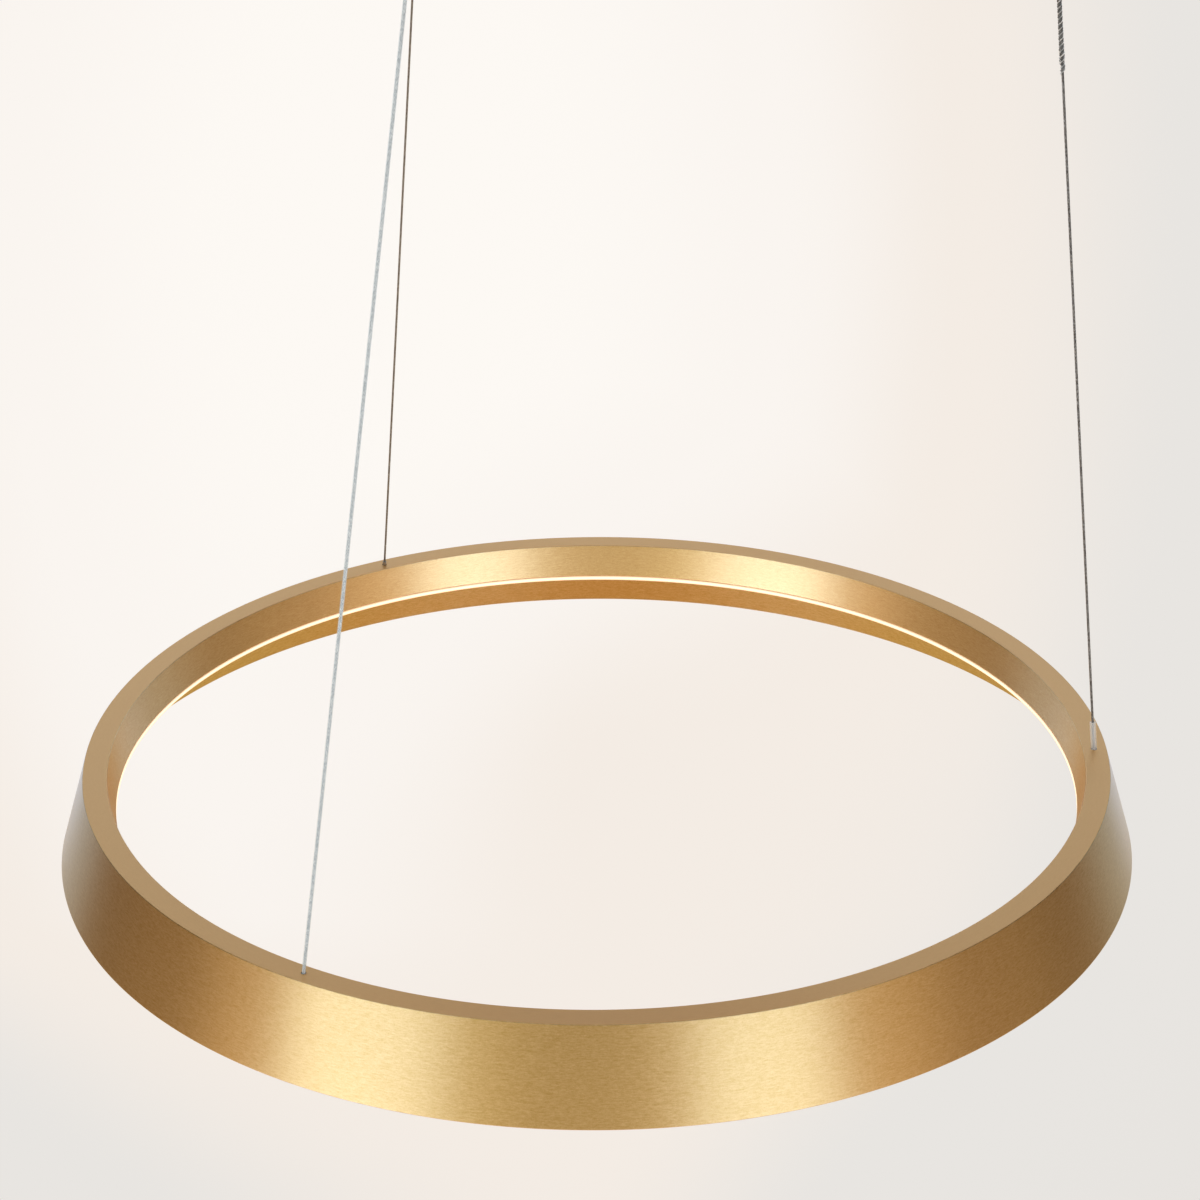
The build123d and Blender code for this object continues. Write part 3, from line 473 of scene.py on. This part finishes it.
def round_the_ring(tree, place, streaks_around, streaks_across):
    """Coordinates for marks that run round the ring: the direction from the ring's axis, times the
    number of marks round it, and the distance down or across the profile, times its own number."""
    centred = add_node(tree, "ShaderNodeVectorMath", {0: place, 1: (RING_AXIS[0], RING_AXIS[1], RING_TOP)},
                       operation="SUBTRACT").outputs["Vector"]
    flat = add_node(tree, "ShaderNodeVectorMath", {0: centred, 1: (1, 1, 0)}, operation="MULTIPLY")
    direction = add_node(tree, "ShaderNodeVectorMath", {0: flat.outputs["Vector"]}, operation="NORMALIZE")
    around_ring = add_node(tree, "ShaderNodeVectorMath", {
        0: direction.outputs["Vector"], "Scale": streaks_around}, operation="SCALE").outputs["Vector"]
    radius = add_node(tree, "ShaderNodeVectorMath", {0: flat.outputs["Vector"]}, operation="LENGTH")
    height = add_node(tree, "ShaderNodeSeparateXYZ", {0: centred}).outputs["Z"]
    across = add_node(tree, "ShaderNodeMath", {0: radius.outputs["Value"], 1: 0.8, 2: height},
                      operation="MULTIPLY_ADD").outputs["Value"]
    across = add_node(tree, "ShaderNodeMath", {0: across, 1: streaks_across}, operation="MULTIPLY")
    lifted = add_node(tree, "ShaderNodeCombineXYZ", {"Z": across.outputs["Value"]})
    return add_node(tree, "ShaderNodeVectorMath", {0: around_ring, 1: lifted.outputs["Vector"]},
                    operation="ADD").outputs["Vector"]


def brushed_gold_finish(name, bright, dark, roughness, anisotropy, streak, relief, edge="#ffffff"):
    """Brushed gold anodising: fine parallel scratches round the ring, some long and some short, over
    a metal whose colour deepens slightly in the scratches."""
    material, tree, surface, place = start_material(
        name, Metallic=0.94, Anisotropic=anisotropy, Anisotropic_Rotation=0.25, Roughness=roughness,
        Specular_Tint=linear(edge))
    fine = add_node(tree, "ShaderNodeTexNoise", {
        "Vector": round_the_ring(tree, place, 110, 1900), "Scale": 1.0, "Detail": 2.0,
        "Roughness": 0.6}).outputs["Fac"]
    coarse = add_node(tree, "ShaderNodeTexNoise", {
        "Vector": round_the_ring(tree, place, 55, 1500), "Scale": 1.0, "Detail": 3.0,
        "Roughness": 0.75}).outputs["Fac"]
    cloud, grain = noise(tree, place, 18, 2), noise(tree, place, 1600, 2, 0.7)
    marks = add_node(tree, "ShaderNodeMix", {"Factor": 0.5, 2: fine, 3: coarse}).outputs[0]
    marks = add_node(tree, "ShaderNodeMix", {"Factor": 0.3, 2: marks, 3: grain}).outputs[0]
    shade = spread(tree, marks, 0.5 - streak, 0.5 + streak)
    tree.links.new(blend_colours(tree, shade, dark, bright), surface.inputs["Base Color"])
    rough = add_node(tree, "ShaderNodeMix", {"Factor": 0.35, 2: shade, 3: cloud}).outputs[0]
    tree.links.new(spread(tree, rough, 0, 1, roughness - 0.05, roughness + 0.06), surface.inputs["Roughness"])
    tangent = add_node(tree, "ShaderNodeTangent", direction_type="RADIAL", axis="Z")
    tree.links.new(tangent.outputs["Tangent"], surface.inputs["Tangent"])
    bumped(tree, surface, marks, relief)
    return material


# One finish on the real ring. Its three faces have tones of their own here, each matched to the photograph in
# this studio's light, so they may part under another light. These tones are painted light and shade: the
# inner wall is painted lighter than the skirt, and the top warmer.
gold_skirt = brushed_gold_finish("brushed_gold_skirt", "#d5c5a0", "#b8a274", 0.34, 0.7, 0.14, 0.000025)
gold_wall = brushed_gold_finish("brushed_gold_wall", "#f0e4c4", "#d6c094", 0.34, 0.7, 0.14, 0.000025,
                                "#a8703c")
gold_top = brushed_gold_finish("brushed_gold_top", "#e9c086", "#e2b57a", 0.46, 0.3, 0.2, 0.00001)

# Anchor holes: drilled through the top along each cable's line.
HOLE_RADIUS = {"right": 0.00185, "rear": 0.0014, "front": 0.0014}
HOLE_SIDES = 40
DRILL_BELOW, DRILL_ABOVE = 0.006, 0.004
drills = []
for cable in CABLES:
    along = mouth_point[cable] - anchor_point[cable]
    along /= np.linalg.norm(along)
    seat = anchor_point[cable] - along * SHANK_TOP[cable]
    drilled_line = np.linspace(seat - DRILL_BELOW * along, seat + DRILL_ABOVE * along, 4)
    drills.append(round_wall(drilled_line, HOLE_RADIUS[cable], HOLE_SIDES))
drill = new_piece("drill", *join_walls(drills))
cutting = housing.modifiers.new("anchor_holes", "BOOLEAN")
cutting.object, cutting.operation, cutting.solver = drill, "DIFFERENCE", "EXACT"
drilled = bpy.data.meshes.new_from_object(housing.evaluated_get(bpy.context.evaluated_depsgraph_get()))
housing.modifiers.clear()
housing.data = drilled
drilled.name = "ring_profile"
bpy.data.objects.remove(drill)
drilled.set_sharp_from_angle(angle=math.radians(32))
drilled.materials.clear()
for gold in (gold_skirt, gold_wall, gold_top):
    drilled.materials.append(gold)
facing, middle = np.empty((len(drilled.polygons), 3)), np.empty((len(drilled.polygons), 3))
drilled.polygons.foreach_get("normal", facing.ravel())
drilled.polygons.foreach_get("center", middle.ravel())
inner = np.hypot(middle[:, 0] - RING_AXIS[0], middle[:, 1]) < RING_TOP_RADIUS - TOP_WIDTH / 2
gold_number = np.where(facing[:, 2] > 0.9, 2, np.where(inner, 1, 0)).astype(np.int32)
drilled.polygons.foreach_set("material_index", gold_number)
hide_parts("ring_skirt", "ring_inner_wall", "ring_top_plate")
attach(housing, "ring")


# --- Diffuser ------------------------------------------------------------------------------------
# Opal plastic ring, snapped into the channel, that glows warm white; its inner edge stands below
# the inner wall's lip and shows as a thin bright line.

DIFFUSER_DROP, DIFFUSER_PLATE, DIFFUSER_GAP = 0.0029, 0.0022, 0.00015
DIFFUSER_TURNS, CORE_HALF = 480, 0.0002
LIGHT_EDGE_INSET, LAP_REACH = 0.00005, 0.0024
diffuser_low = -WEB_HEIGHT - DIFFUSER_DROP
diffuser_high = diffuser_low + DIFFUSER_PLATE
lap_high = -WEB_HEIGHT - DIFFUSER_GAP
light_edge = web_inside(-WEB_HEIGHT) + LIGHT_EDGE_INSET
diffuser_corners = [
    (light_edge, lap_high), (light_edge + LAP_REACH, lap_high), (light_edge + LAP_REACH, diffuser_high),
    (skirt_outside(diffuser_high) - skirt_across - DIFFUSER_GAP, diffuser_high),
    (skirt_outside(diffuser_low) - skirt_across - DIFFUSER_GAP, diffuser_low), (light_edge, diffuser_low)]
diffuser = lathe("diffuser_ring", rounded_outline(
    diffuser_corners, [0.0002, 0.0001, 0.0001, 0.0002, 0.0003, 0.0004]), DIFFUSER_TURNS)
opal, opal_tree, opal_surface, opal_place = start_material(
    "lit_opal_acrylic", Base_Color=linear("#fff2dc"), Roughness=0.55, IOR=1.49)
from_middle = add_node(opal_tree, "ShaderNodeSeparateXYZ", {"Vector": opal_place}).outputs["Z"]
from_middle = add_node(opal_tree, "ShaderNodeMath", {
    0: from_middle, 1: -RING_TOP - (diffuser_low + lap_high) / 2}, operation="ADD").outputs["Value"]
from_middle = add_node(opal_tree, "ShaderNodeMath", {0: from_middle}, operation="ABSOLUTE").outputs["Value"]
to_edge = spread(opal_tree, from_middle, CORE_HALF, (lap_high - diffuser_low) / 2)
light_colour = blend_colours(opal_tree, to_edge, "#fff0b4", "#ff8420")
light_strength = spread(opal_tree, to_edge, 0, 1, 1.0, 0.12)
opal_tree.links.new(light_colour, opal_surface.inputs["Emission Color"])
opal_tree.links.new(light_strength, opal_surface.inputs["Emission Strength"])
bumped(opal_tree, opal_surface, noise(opal_tree, opal_place, 1500, 2), 0.00002)
diffuser.data.materials.append(opal)
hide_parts("diffuser")
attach(diffuser, "ring")


# --- Light strips and cable ends -----------------------------------------------------------------
# Closed in the channel: white aluminium-cored strips with chips, solder joints and two short feed
# leads, and the swaged ball ends that pull up against their bushes under the top plate.


def plain_finish(name, bright, dark, roughness, per_metre, relief, **shader):
    """A finish whose colour drifts between two tones in soft patches, with a fine raised grain."""
    material, tree, surface, place = start_material(name, Roughness=roughness, **shader)
    patches = noise(tree, place, per_metre, 4)
    tree.links.new(blend_colours(tree, patches, dark, bright), surface.inputs["Base Color"])
    tree.links.new(spread(tree, patches, 0.3, 0.7, roughness - 0.04, roughness + 0.05),
                   surface.inputs["Roughness"])
    bumped(tree, surface, noise(tree, place, 6 * per_metre, 2), relief)
    return material


def finish(material, *nodes):
    """Gives construction pieces their material."""
    for name in nodes:
        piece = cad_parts[name]
        piece.data.materials.clear()
        piece.data.materials.append(material)


white_mask = plain_finish("white_solder_mask", "#eeeee8", "#e2e2da", 0.35, 300, 0.00001)
phosphor = plain_finish("yellow_phosphor", "#f2d36a", "#e6bf4e", 0.4, 900, 0.00001,
                        Emission_Color=linear("#ffd9a0"), Emission_Strength=2.0)
tin = plain_finish("tin_solder", "#c9cac8", "#a3a4a2", 0.3, 900, 0.00003, Metallic=1.0)
nylon_black = plain_finish("black_nylon", "#1d1d1e", "#141415", 0.5, 400, 0.00002)
swaged_steel = plain_finish("swaged_stainless_steel", "#d0cdc7", "#a5a29c", 0.34, 1200, 0.00003, Metallic=0.8)
red_sheath = plain_finish("red_silicone_sheath", "#a3211c", "#8c1a17", 0.45, 500, 0.00001)
black_sheath = plain_finish("black_silicone_sheath", "#1b1b1d", "#121214", 0.45, 500, 0.00001)
finish(white_mask, *[f"led_strip_{name}" for name in ("rear_right", "left", "front_right")])
finish(phosphor, *[f"led_chips_{name}" for name in ("rear_right", "left", "front_right")])
finish(tin, "strip_solder_joints", "gripper_eyelets")
finish(nylon_black, *[f"anchor_bush_{cable}" for cable in CABLES])
finish(swaged_steel, *[f"ball_end_{cable}" for cable in CABLES])
finish(red_sheath, "feed_lead_front")
finish(black_sheath, "feed_lead_right")


# --- Clear sleeve --------------------------------------------------------------------------------
# A short cut of clear plastic tube over the right cable, to insulate it where it enters the ring; it
# is clear by Alpha, as the jacket is.

SLEEVE_RADIUS, SLEEVE_BORE, SLEEVE_LENGTH = 0.0017, 0.00085, 0.0176
SLEEVE_SIDES = 40


def turned_on(name, outline, base, direction, sides):
    """A closed outline of (radius, distance) points turned about a slanted axis from base."""
    direction = np.asarray(direction, float) / np.linalg.norm(direction)
    across = np.cross(direction, (0.0, 1.0, 0.0))
    across /= np.linalg.norm(across)
    over = np.cross(direction, across)
    turn = 2 * np.pi * np.arange(sides) / sides
    rim = np.cos(turn)[:, None] * across + np.sin(turn)[:, None] * over
    points = base + outline[None, :, 0, None] * rim[:, None] + outline[None, :, 1, None] * direction
    return new_piece(name, points.reshape(-1, 3), grid_faces(sides, len(outline), wrap_rows=True))


sleeve_seat = anchor_point["right"] - SHANK_TOP["right"] * strand_axis
sleeve_outline = rounded_outline([(SLEEVE_BORE, SLEEVE_LENGTH), (SLEEVE_RADIUS, SLEEVE_LENGTH),
                                  (SLEEVE_RADIUS, 0), (SLEEVE_BORE, 0)], [0.0002] * 4, 4, 0.0001)
sleeve = turned_on("clear_sleeve", sleeve_outline, sleeve_seat, strand_axis, SLEEVE_SIDES)
clear_tube, tube_tree, tube_surface, tube_place = start_material(
    "clear_plastic_tube", Roughness=0.12, Alpha=0.32, IOR=1.45, Base_Color=linear("#f8fafb"))
bumped(tube_tree, tube_surface, noise(tube_tree, tube_place, 500, 2), 0.00005)
sleeve.data.materials.append(clear_tube)
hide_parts("cable_sleeve_right")
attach(sleeve, "ring")


# --- Canopy and ceiling plate --------------------------------------------------------------------
# Spun steel canopy in satin gold lacquer over a zinc-plated steel plate that is screwed to the
# ceiling; knurled brass screws through its side hold it to the plate's ears.

lacquer = plain_finish("satin_gold_lacquer", "#a98a5f", "#9f8057", 0.42, 60, 0.00002, Metallic=0.6,
                       Coat_Weight=0.25, Coat_Roughness=0.3)
zinc = plain_finish("bright_zinc_plate", "#cfd2d3", "#b0b4b6", 0.42, 90, 0.00002, Metallic=0.6)
turned_gold = plain_finish("turned_gold_brass", "#cfa76a", "#b98f52", 0.3, 700, 0.00003, Metallic=1.0)
turned_brass = plain_finish("turned_brass", "#d8b877", "#c09c58", 0.28, 700, 0.00003, Metallic=1.0)
rubber = plain_finish("black_rubber", "#1a1a1a", "#101010", 0.6, 500, 0.00003)
finish(lacquer, "canopy_shell")
finish(zinc, "ceiling_plate", "driver_screws", "terminal_screws", "gripper_locknuts", "gripper_balls",
       *[f"gripper_spring_{cable}" for cable in CABLES])
finish(turned_gold, *[f"side_screw_{number}" for number in (1, 2, 3)])
finish(turned_brass, "earth_screw", "earth_nut", *[f"gripper_stem_{cable}" for cable in CABLES])
finish(rubber, "entry_grommet")


# --- Grippers ------------------------------------------------------------------------------------
# Turned brass barrels under the canopy, each with a sprung plunger whose flange is pushed up with
# two fingers to free the cable; white nylon bushes keep the live ones off the canopy.

nylon_white = plain_finish("white_nylon", "#e9e7df", "#dcdad2", 0.45, 400, 0.00002)
finish(turned_gold, *[f"gripper_{part}_{cable}" for cable in CABLES for part in ("barrel", "plunger")])
finish(nylon_white, "gripper_shoulder_bushes", "gripper_washers")


# --- Driver and leads ----------------------------------------------------------------------------
# White moulded driver case with its board inside, a terminal block beside it, and the output leads
# that run across the canopy to eyelets on the two live grippers.

white_case = plain_finish("white_moulded_plastic", "#e6e6e2", "#dcdcd7", 0.42, 120, 0.00002)
green_board = plain_finish("green_circuit_board", "#1f5a35", "#174a2a", 0.4, 300, 0.00001)
black_parts = plain_finish("black_components", "#202124", "#151618", 0.4, 300, 0.00001)
brown_sheath = plain_finish("brown_pvc_sheath", "#5e3a22", "#4d2e1a", 0.45, 500, 0.00001)
finish(white_case, "driver_case", "driver_lid", "terminal_block")
finish(green_board, "driver_board")
finish(black_parts, "driver_parts")
finish(brown_sheath, "mains_leads")


def hanging_lead(name, material, node):
    """An output lead in its construction form. Its faces are the construction's own triangles, which aren't
    merged."""
    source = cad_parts[node]
    points = np.array([tuple(source.matrix_world @ corner.co) for corner in source.data.vertices])
    lead = new_piece(name, points, [tuple(face.vertices) for face in source.data.polygons])
    lead.data.materials.append(material)
    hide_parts(node)
    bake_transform(lead)


hanging_lead("output_wire_front", red_sheath, "output_lead_front")
hanging_lead("output_wire_right", black_sheath, "output_lead_right")


# --- Studio --------------------------------------------------------------------------------------
# A pale paper sweep far below, a soft top light and, seen only in reflections, a round tent: a
# bright panel either side of the camera, warm brown between and beside them and cool grey behind.

FLOOR_DROP, FLOOR_SIZE = 1.5, 60.0
TENT_RADIUS, TENT_LOW, TENT_HIGH = 3.2, -2.0, 3.0
TENT_ROWS, TENT_TURNS = 9, 96
LAMP_HEIGHT, LAMP_FORWARD, LAMP_SIZE, LAMP_POWER, LAMP_AIM_DROP = 2.2, 0.9, 2.2, 15.0, 0.02
# Slopes from the line of sight: where the paper is brightest, and where it shows inside the ring, under a
# painted shadow.
BRIGHT_LEFT, BRIGHT_LIFT, RING_LIFT = 0.063, 0.12, 0.05
PAPER_TONES = [(0.0, "#fdf9f4"), (1.0, "#8a8580"), (0.018, "#faf5f0"), (0.04, "#f4ece4"), (0.08, "#e8e5e1")]
floor_height = RING_TOP - FLOOR_DROP
camera_height = RING_TOP + CAMERA_UP - floor_height


def calculate(tree, operation, *values):
    """One arithmetic step on values or other nodes' outputs."""
    return add_node(tree, "ShaderNodeMath", dict(enumerate(values)), operation=operation).outputs["Value"]


def stage_material(name):
    """A material for the studio: its tree, emptied, and an output to link a shader to."""
    material = bpy.data.materials.new(name)
    material.use_nodes = True
    material.node_tree.nodes.clear()
    return material, material.node_tree, add_node(material.node_tree, "ShaderNodeOutputMaterial")


def ramp(tree, value, stops):
    """A colour along a list of (position, hex colour) stops."""
    made = add_node(tree, "ShaderNodeValToRGB", {"Fac": value})
    made.color_ramp.interpolation = "EASE"
    for index, (position, code) in enumerate(stops):
        stop = made.color_ramp.elements[index] if index < 2 else made.color_ramp.elements.new(position)
        stop.position, stop.color = position, linear(code)
    return made.outputs["Color"]


def profile(tree, value, stops):
    """A number that follows straight runs between (value, number) stops."""
    total = stops[0][1]
    for (low, start), (high, end) in zip(stops, stops[1:]):
        total = calculate(tree, "ADD", total, spread(tree, value, low, high, 0.0, end - start))
    return total


def ray_is(tree, *kinds):
    """One for rays of the named kinds and nothing for the rest."""
    path = add_node(tree, "ShaderNodeLightPath")
    total = path.outputs[f"Is {kinds[0]} Ray"]
    for kind in kinds[1:]:
        total = calculate(tree, "MAXIMUM", total, path.outputs[f"Is {kind} Ray"])
    return total


# Paper sweep: a painted pool of light, brightest beyond the ring and greyer to the sides and in the
# foreground, with a painted shadow where it shows inside the ring and painted shade in its near corners.
# Reflections see a warm shine in its place.
floor = new_piece("floor", [(-FLOOR_SIZE, -FLOOR_SIZE, floor_height), (FLOOR_SIZE, -FLOOR_SIZE, floor_height),
                            (FLOOR_SIZE, FLOOR_SIZE, floor_height), (-FLOOR_SIZE, FLOOR_SIZE, floor_height)],
                  [(0, 1, 2, 3)], smooth=False)
paper, paper_tree, paper_out = stage_material("pale_paper_sweep")
spot = add_node(paper_tree, "ShaderNodeTexCoord").outputs["Object"]
spot = add_node(paper_tree, "ShaderNodeSeparateXYZ", {"Vector": spot})
reach = calculate(paper_tree, "ADD", spot.outputs["Y"], CAMERA_BACK)
far = calculate(paper_tree, "MULTIPLY_ADD", reach, math.cos(CAMERA_PITCH),
                camera_height * math.sin(CAMERA_PITCH))
off_axis = calculate(paper_tree, "SUBTRACT", spot.outputs["X"], RING_AXIS[0])
sideways = calculate(paper_tree, "DIVIDE", off_axis, far)
lift = calculate(paper_tree, "MULTIPLY_ADD", reach, math.sin(CAMERA_PITCH),
                 -camera_height * math.cos(CAMERA_PITCH))
lift = calculate(paper_tree, "DIVIDE", lift, far)
aside = calculate(paper_tree, "POWER", calculate(paper_tree, "ADD", sideways, BRIGHT_LEFT), 2.0)
lowered = calculate(paper_tree, "POWER", calculate(paper_tree, "SUBTRACT", lift, BRIGHT_LIFT), 2.0)
falloff = calculate(paper_tree, "MULTIPLY_ADD", aside, 1.25, calculate(paper_tree, "MULTIPLY", lowered, 0.42))
# Painted shadow: the paper darkens where it shows inside the ring.
across_square = calculate(paper_tree, "POWER", sideways, 2.0)
lift_square = calculate(paper_tree, "POWER", calculate(paper_tree, "ADD", lift, RING_LIFT), 2.0)
inside = calculate(paper_tree, "SQRT", calculate(paper_tree, "ADD", across_square, lift_square))
falloff = calculate(paper_tree, "ADD", falloff, spread(paper_tree, inside, 0.0, 0.12, 0.024, 0.0))
# Painted shade: the paper darkens towards its near corners.
corner = calculate(paper_tree, "MULTIPLY", spread(paper_tree, lift, -0.2, -0.1, 0.1, 0.0),
                   calculate(paper_tree, "ABSOLUTE", sideways))
falloff = calculate(paper_tree, "MULTIPLY_ADD", corner, 2.4, falloff)
paper_tone = ramp(paper_tree, falloff, PAPER_TONES)
glow = add_node(paper_tree, "ShaderNodeEmission", {"Color": paper_tone, "Strength": 1.0})
matt = add_node(paper_tree, "ShaderNodeBsdfDiffuse", {"Color": linear("#e8e4de")})
near = spread(paper_tree, calculate(paper_tree, "MULTIPLY_ADD", reach, -1.0, CAMERA_BACK), -0.3, 0.6)
floor_shine = add_node(paper_tree, "ShaderNodeEmission", {
    "Color": blend_colours(paper_tree, near, "#f8cf80", "#eba04f"), "Strength": 1.0})
paper_view = add_node(paper_tree, "ShaderNodeMixShader", {
    0: ray_is(paper_tree, "Camera", "Transmission"), 1: matt.outputs["BSDF"], 2: glow.outputs["Emission"]})
paper_mix = add_node(paper_tree, "ShaderNodeMixShader", {
    0: ray_is(paper_tree, "Glossy"), 1: paper_view.outputs["Shader"], 2: floor_shine.outputs["Emission"]})
paper_tree.links.new(paper_mix.outputs["Shader"], paper_out.inputs["Surface"])
floor.data.materials.append(paper)

world = bpy.data.worlds.new("studio_air")
bpy.context.scene.world = world
world.use_nodes = True
air_tree = world.node_tree
air_tree.nodes.clear()
air_light = add_node(air_tree, "ShaderNodeBackground", {"Color": linear("#f2f0ec"), "Strength": 1.0})
air_seen = add_node(air_tree, "ShaderNodeBackground", {"Color": linear("#f9f4ee"), "Strength": 0.95})
air_mix = add_node(air_tree, "ShaderNodeMixShader", {
    0: ray_is(air_tree, "Camera", "Transmission"), 1: air_light.outputs["Background"],
    2: air_seen.outputs["Background"]})
add_node(air_tree, "ShaderNodeOutputWorld", {"Surface": air_mix.outputs["Shader"]})

# Tent: its tone goes round from the back, through the left side, the camera and the right side.
TENT_TONES = [(0.0, "#8f9cb8"), (1.0, "#8f9cb8"), (0.07, "#788297"), (0.12, "#56575c"), (0.18, "#3c2a1d"),
              (0.25, "#513c28"), (0.315, "#8a7255"), (0.35, "#d4d3cd"), (0.40, "#d4d3cd"), (0.435, "#9c8b67"),
              (0.47, "#857457"), (0.51, "#857457"), (0.535, "#978568"), (0.565, "#d4d3cd"),
              (0.605, "#d4d3cd"), (0.64, "#92795a"), (0.72, "#5d4832"), (0.80, "#3f2d1e"), (0.87, "#51504f"),
              (0.94, "#788297")]
TENT_LEVELS = [(-1.3, 6.6), (-1.07, 6.0), (-0.9, 4.7), (-0.76, 3.8), (-0.64, 2.9), (-0.2, 0.65),
               (0.3, 0.65), (0.75, 1.0), (1.4, 0.5)]
SKY_LEVELS = [(0.0, 0.0), (0.5, 6.0), (0.8, 6.0), (1.3, 0.0)]
turn = np.linspace(0, 2 * np.pi, TENT_TURNS + 1)[:-1]
rows = np.linspace(TENT_LOW, TENT_HIGH, TENT_ROWS)
tent_grid = (TENT_ROWS, TENT_TURNS)
tent_points = np.stack([np.broadcast_to(TENT_RADIUS * np.cos(turn), tent_grid) + RING_AXIS[0],
                        np.broadcast_to(TENT_RADIUS * np.sin(turn), tent_grid),
                        np.broadcast_to(rows[:, None], tent_grid)], -1)
tent = new_piece("tent", tent_points.reshape(-1, 3), grid_faces(TENT_ROWS, TENT_TURNS))
tent_paper, tent_tree, tent_out = stage_material("tent_paper")
tent_spot = add_node(tent_tree, "ShaderNodeTexCoord").outputs["Object"]
tent_spot = add_node(tent_tree, "ShaderNodeSeparateXYZ", {"Vector": tent_spot})
tent_aside = calculate(tent_tree, "SUBTRACT", tent_spot.outputs["X"], RING_AXIS[0])
tent_ahead = calculate(tent_tree, "MULTIPLY", tent_spot.outputs["Y"], -1.0)
bearing = calculate(tent_tree, "ARCTAN2", tent_aside, tent_ahead)
bearing = calculate(tent_tree, "MULTIPLY_ADD", bearing, 0.5 / math.pi, 0.5)
tent_tone = ramp(tent_tree, bearing, TENT_TONES)
tent_level = profile(tent_tree, tent_spot.outputs["Z"], TENT_LEVELS)
tent_glow = add_node(tent_tree, "ShaderNodeEmission", {"Color": tent_tone, "Strength": tent_level})
behind = spread(tent_tree, tent_spot.outputs["Y"], 1.2, 2.8)
sky_level = calculate(tent_tree, "MULTIPLY", behind, profile(tent_tree, tent_spot.outputs["Z"], SKY_LEVELS))
sky_glow = add_node(tent_tree, "ShaderNodeEmission", {"Color": linear("#7e848a"), "Strength": sky_level})
tent_sum = add_node(tent_tree, "ShaderNodeAddShader", {
    0: tent_glow.outputs["Emission"], 1: sky_glow.outputs["Emission"]})
tent_tree.links.new(tent_sum.outputs["Shader"], tent_out.inputs["Surface"])
tent.data.materials.append(tent_paper)
tent.visible_camera = tent.visible_diffuse = tent.visible_shadow = tent.visible_transmission = False


def area_light(name, place, target, width, height, power):
    """A rectangular softbox that faces its target."""
    data = bpy.data.lights.new(name, "AREA")
    data.shape, data.size, data.size_y, data.energy = "RECTANGLE", width, height, power
    lamp = bpy.data.objects.new(name, data)
    lamp.location = place
    lamp.rotation_euler = (Vector(target) - Vector(place)).to_track_quat("-Z", "Y").to_euler()
    bpy.context.collection.objects.link(lamp)
    lamp.visible_glossy = False
    return lamp


ring_centre = (RING_AXIS[0], 0.0, RING_TOP - LAMP_AIM_DROP)
lamp_place = (RING_AXIS[0], -LAMP_FORWARD, LAMP_HEIGHT)
area_light("top_light", lamp_place, ring_centre, LAMP_SIZE, LAMP_SIZE, LAMP_POWER)
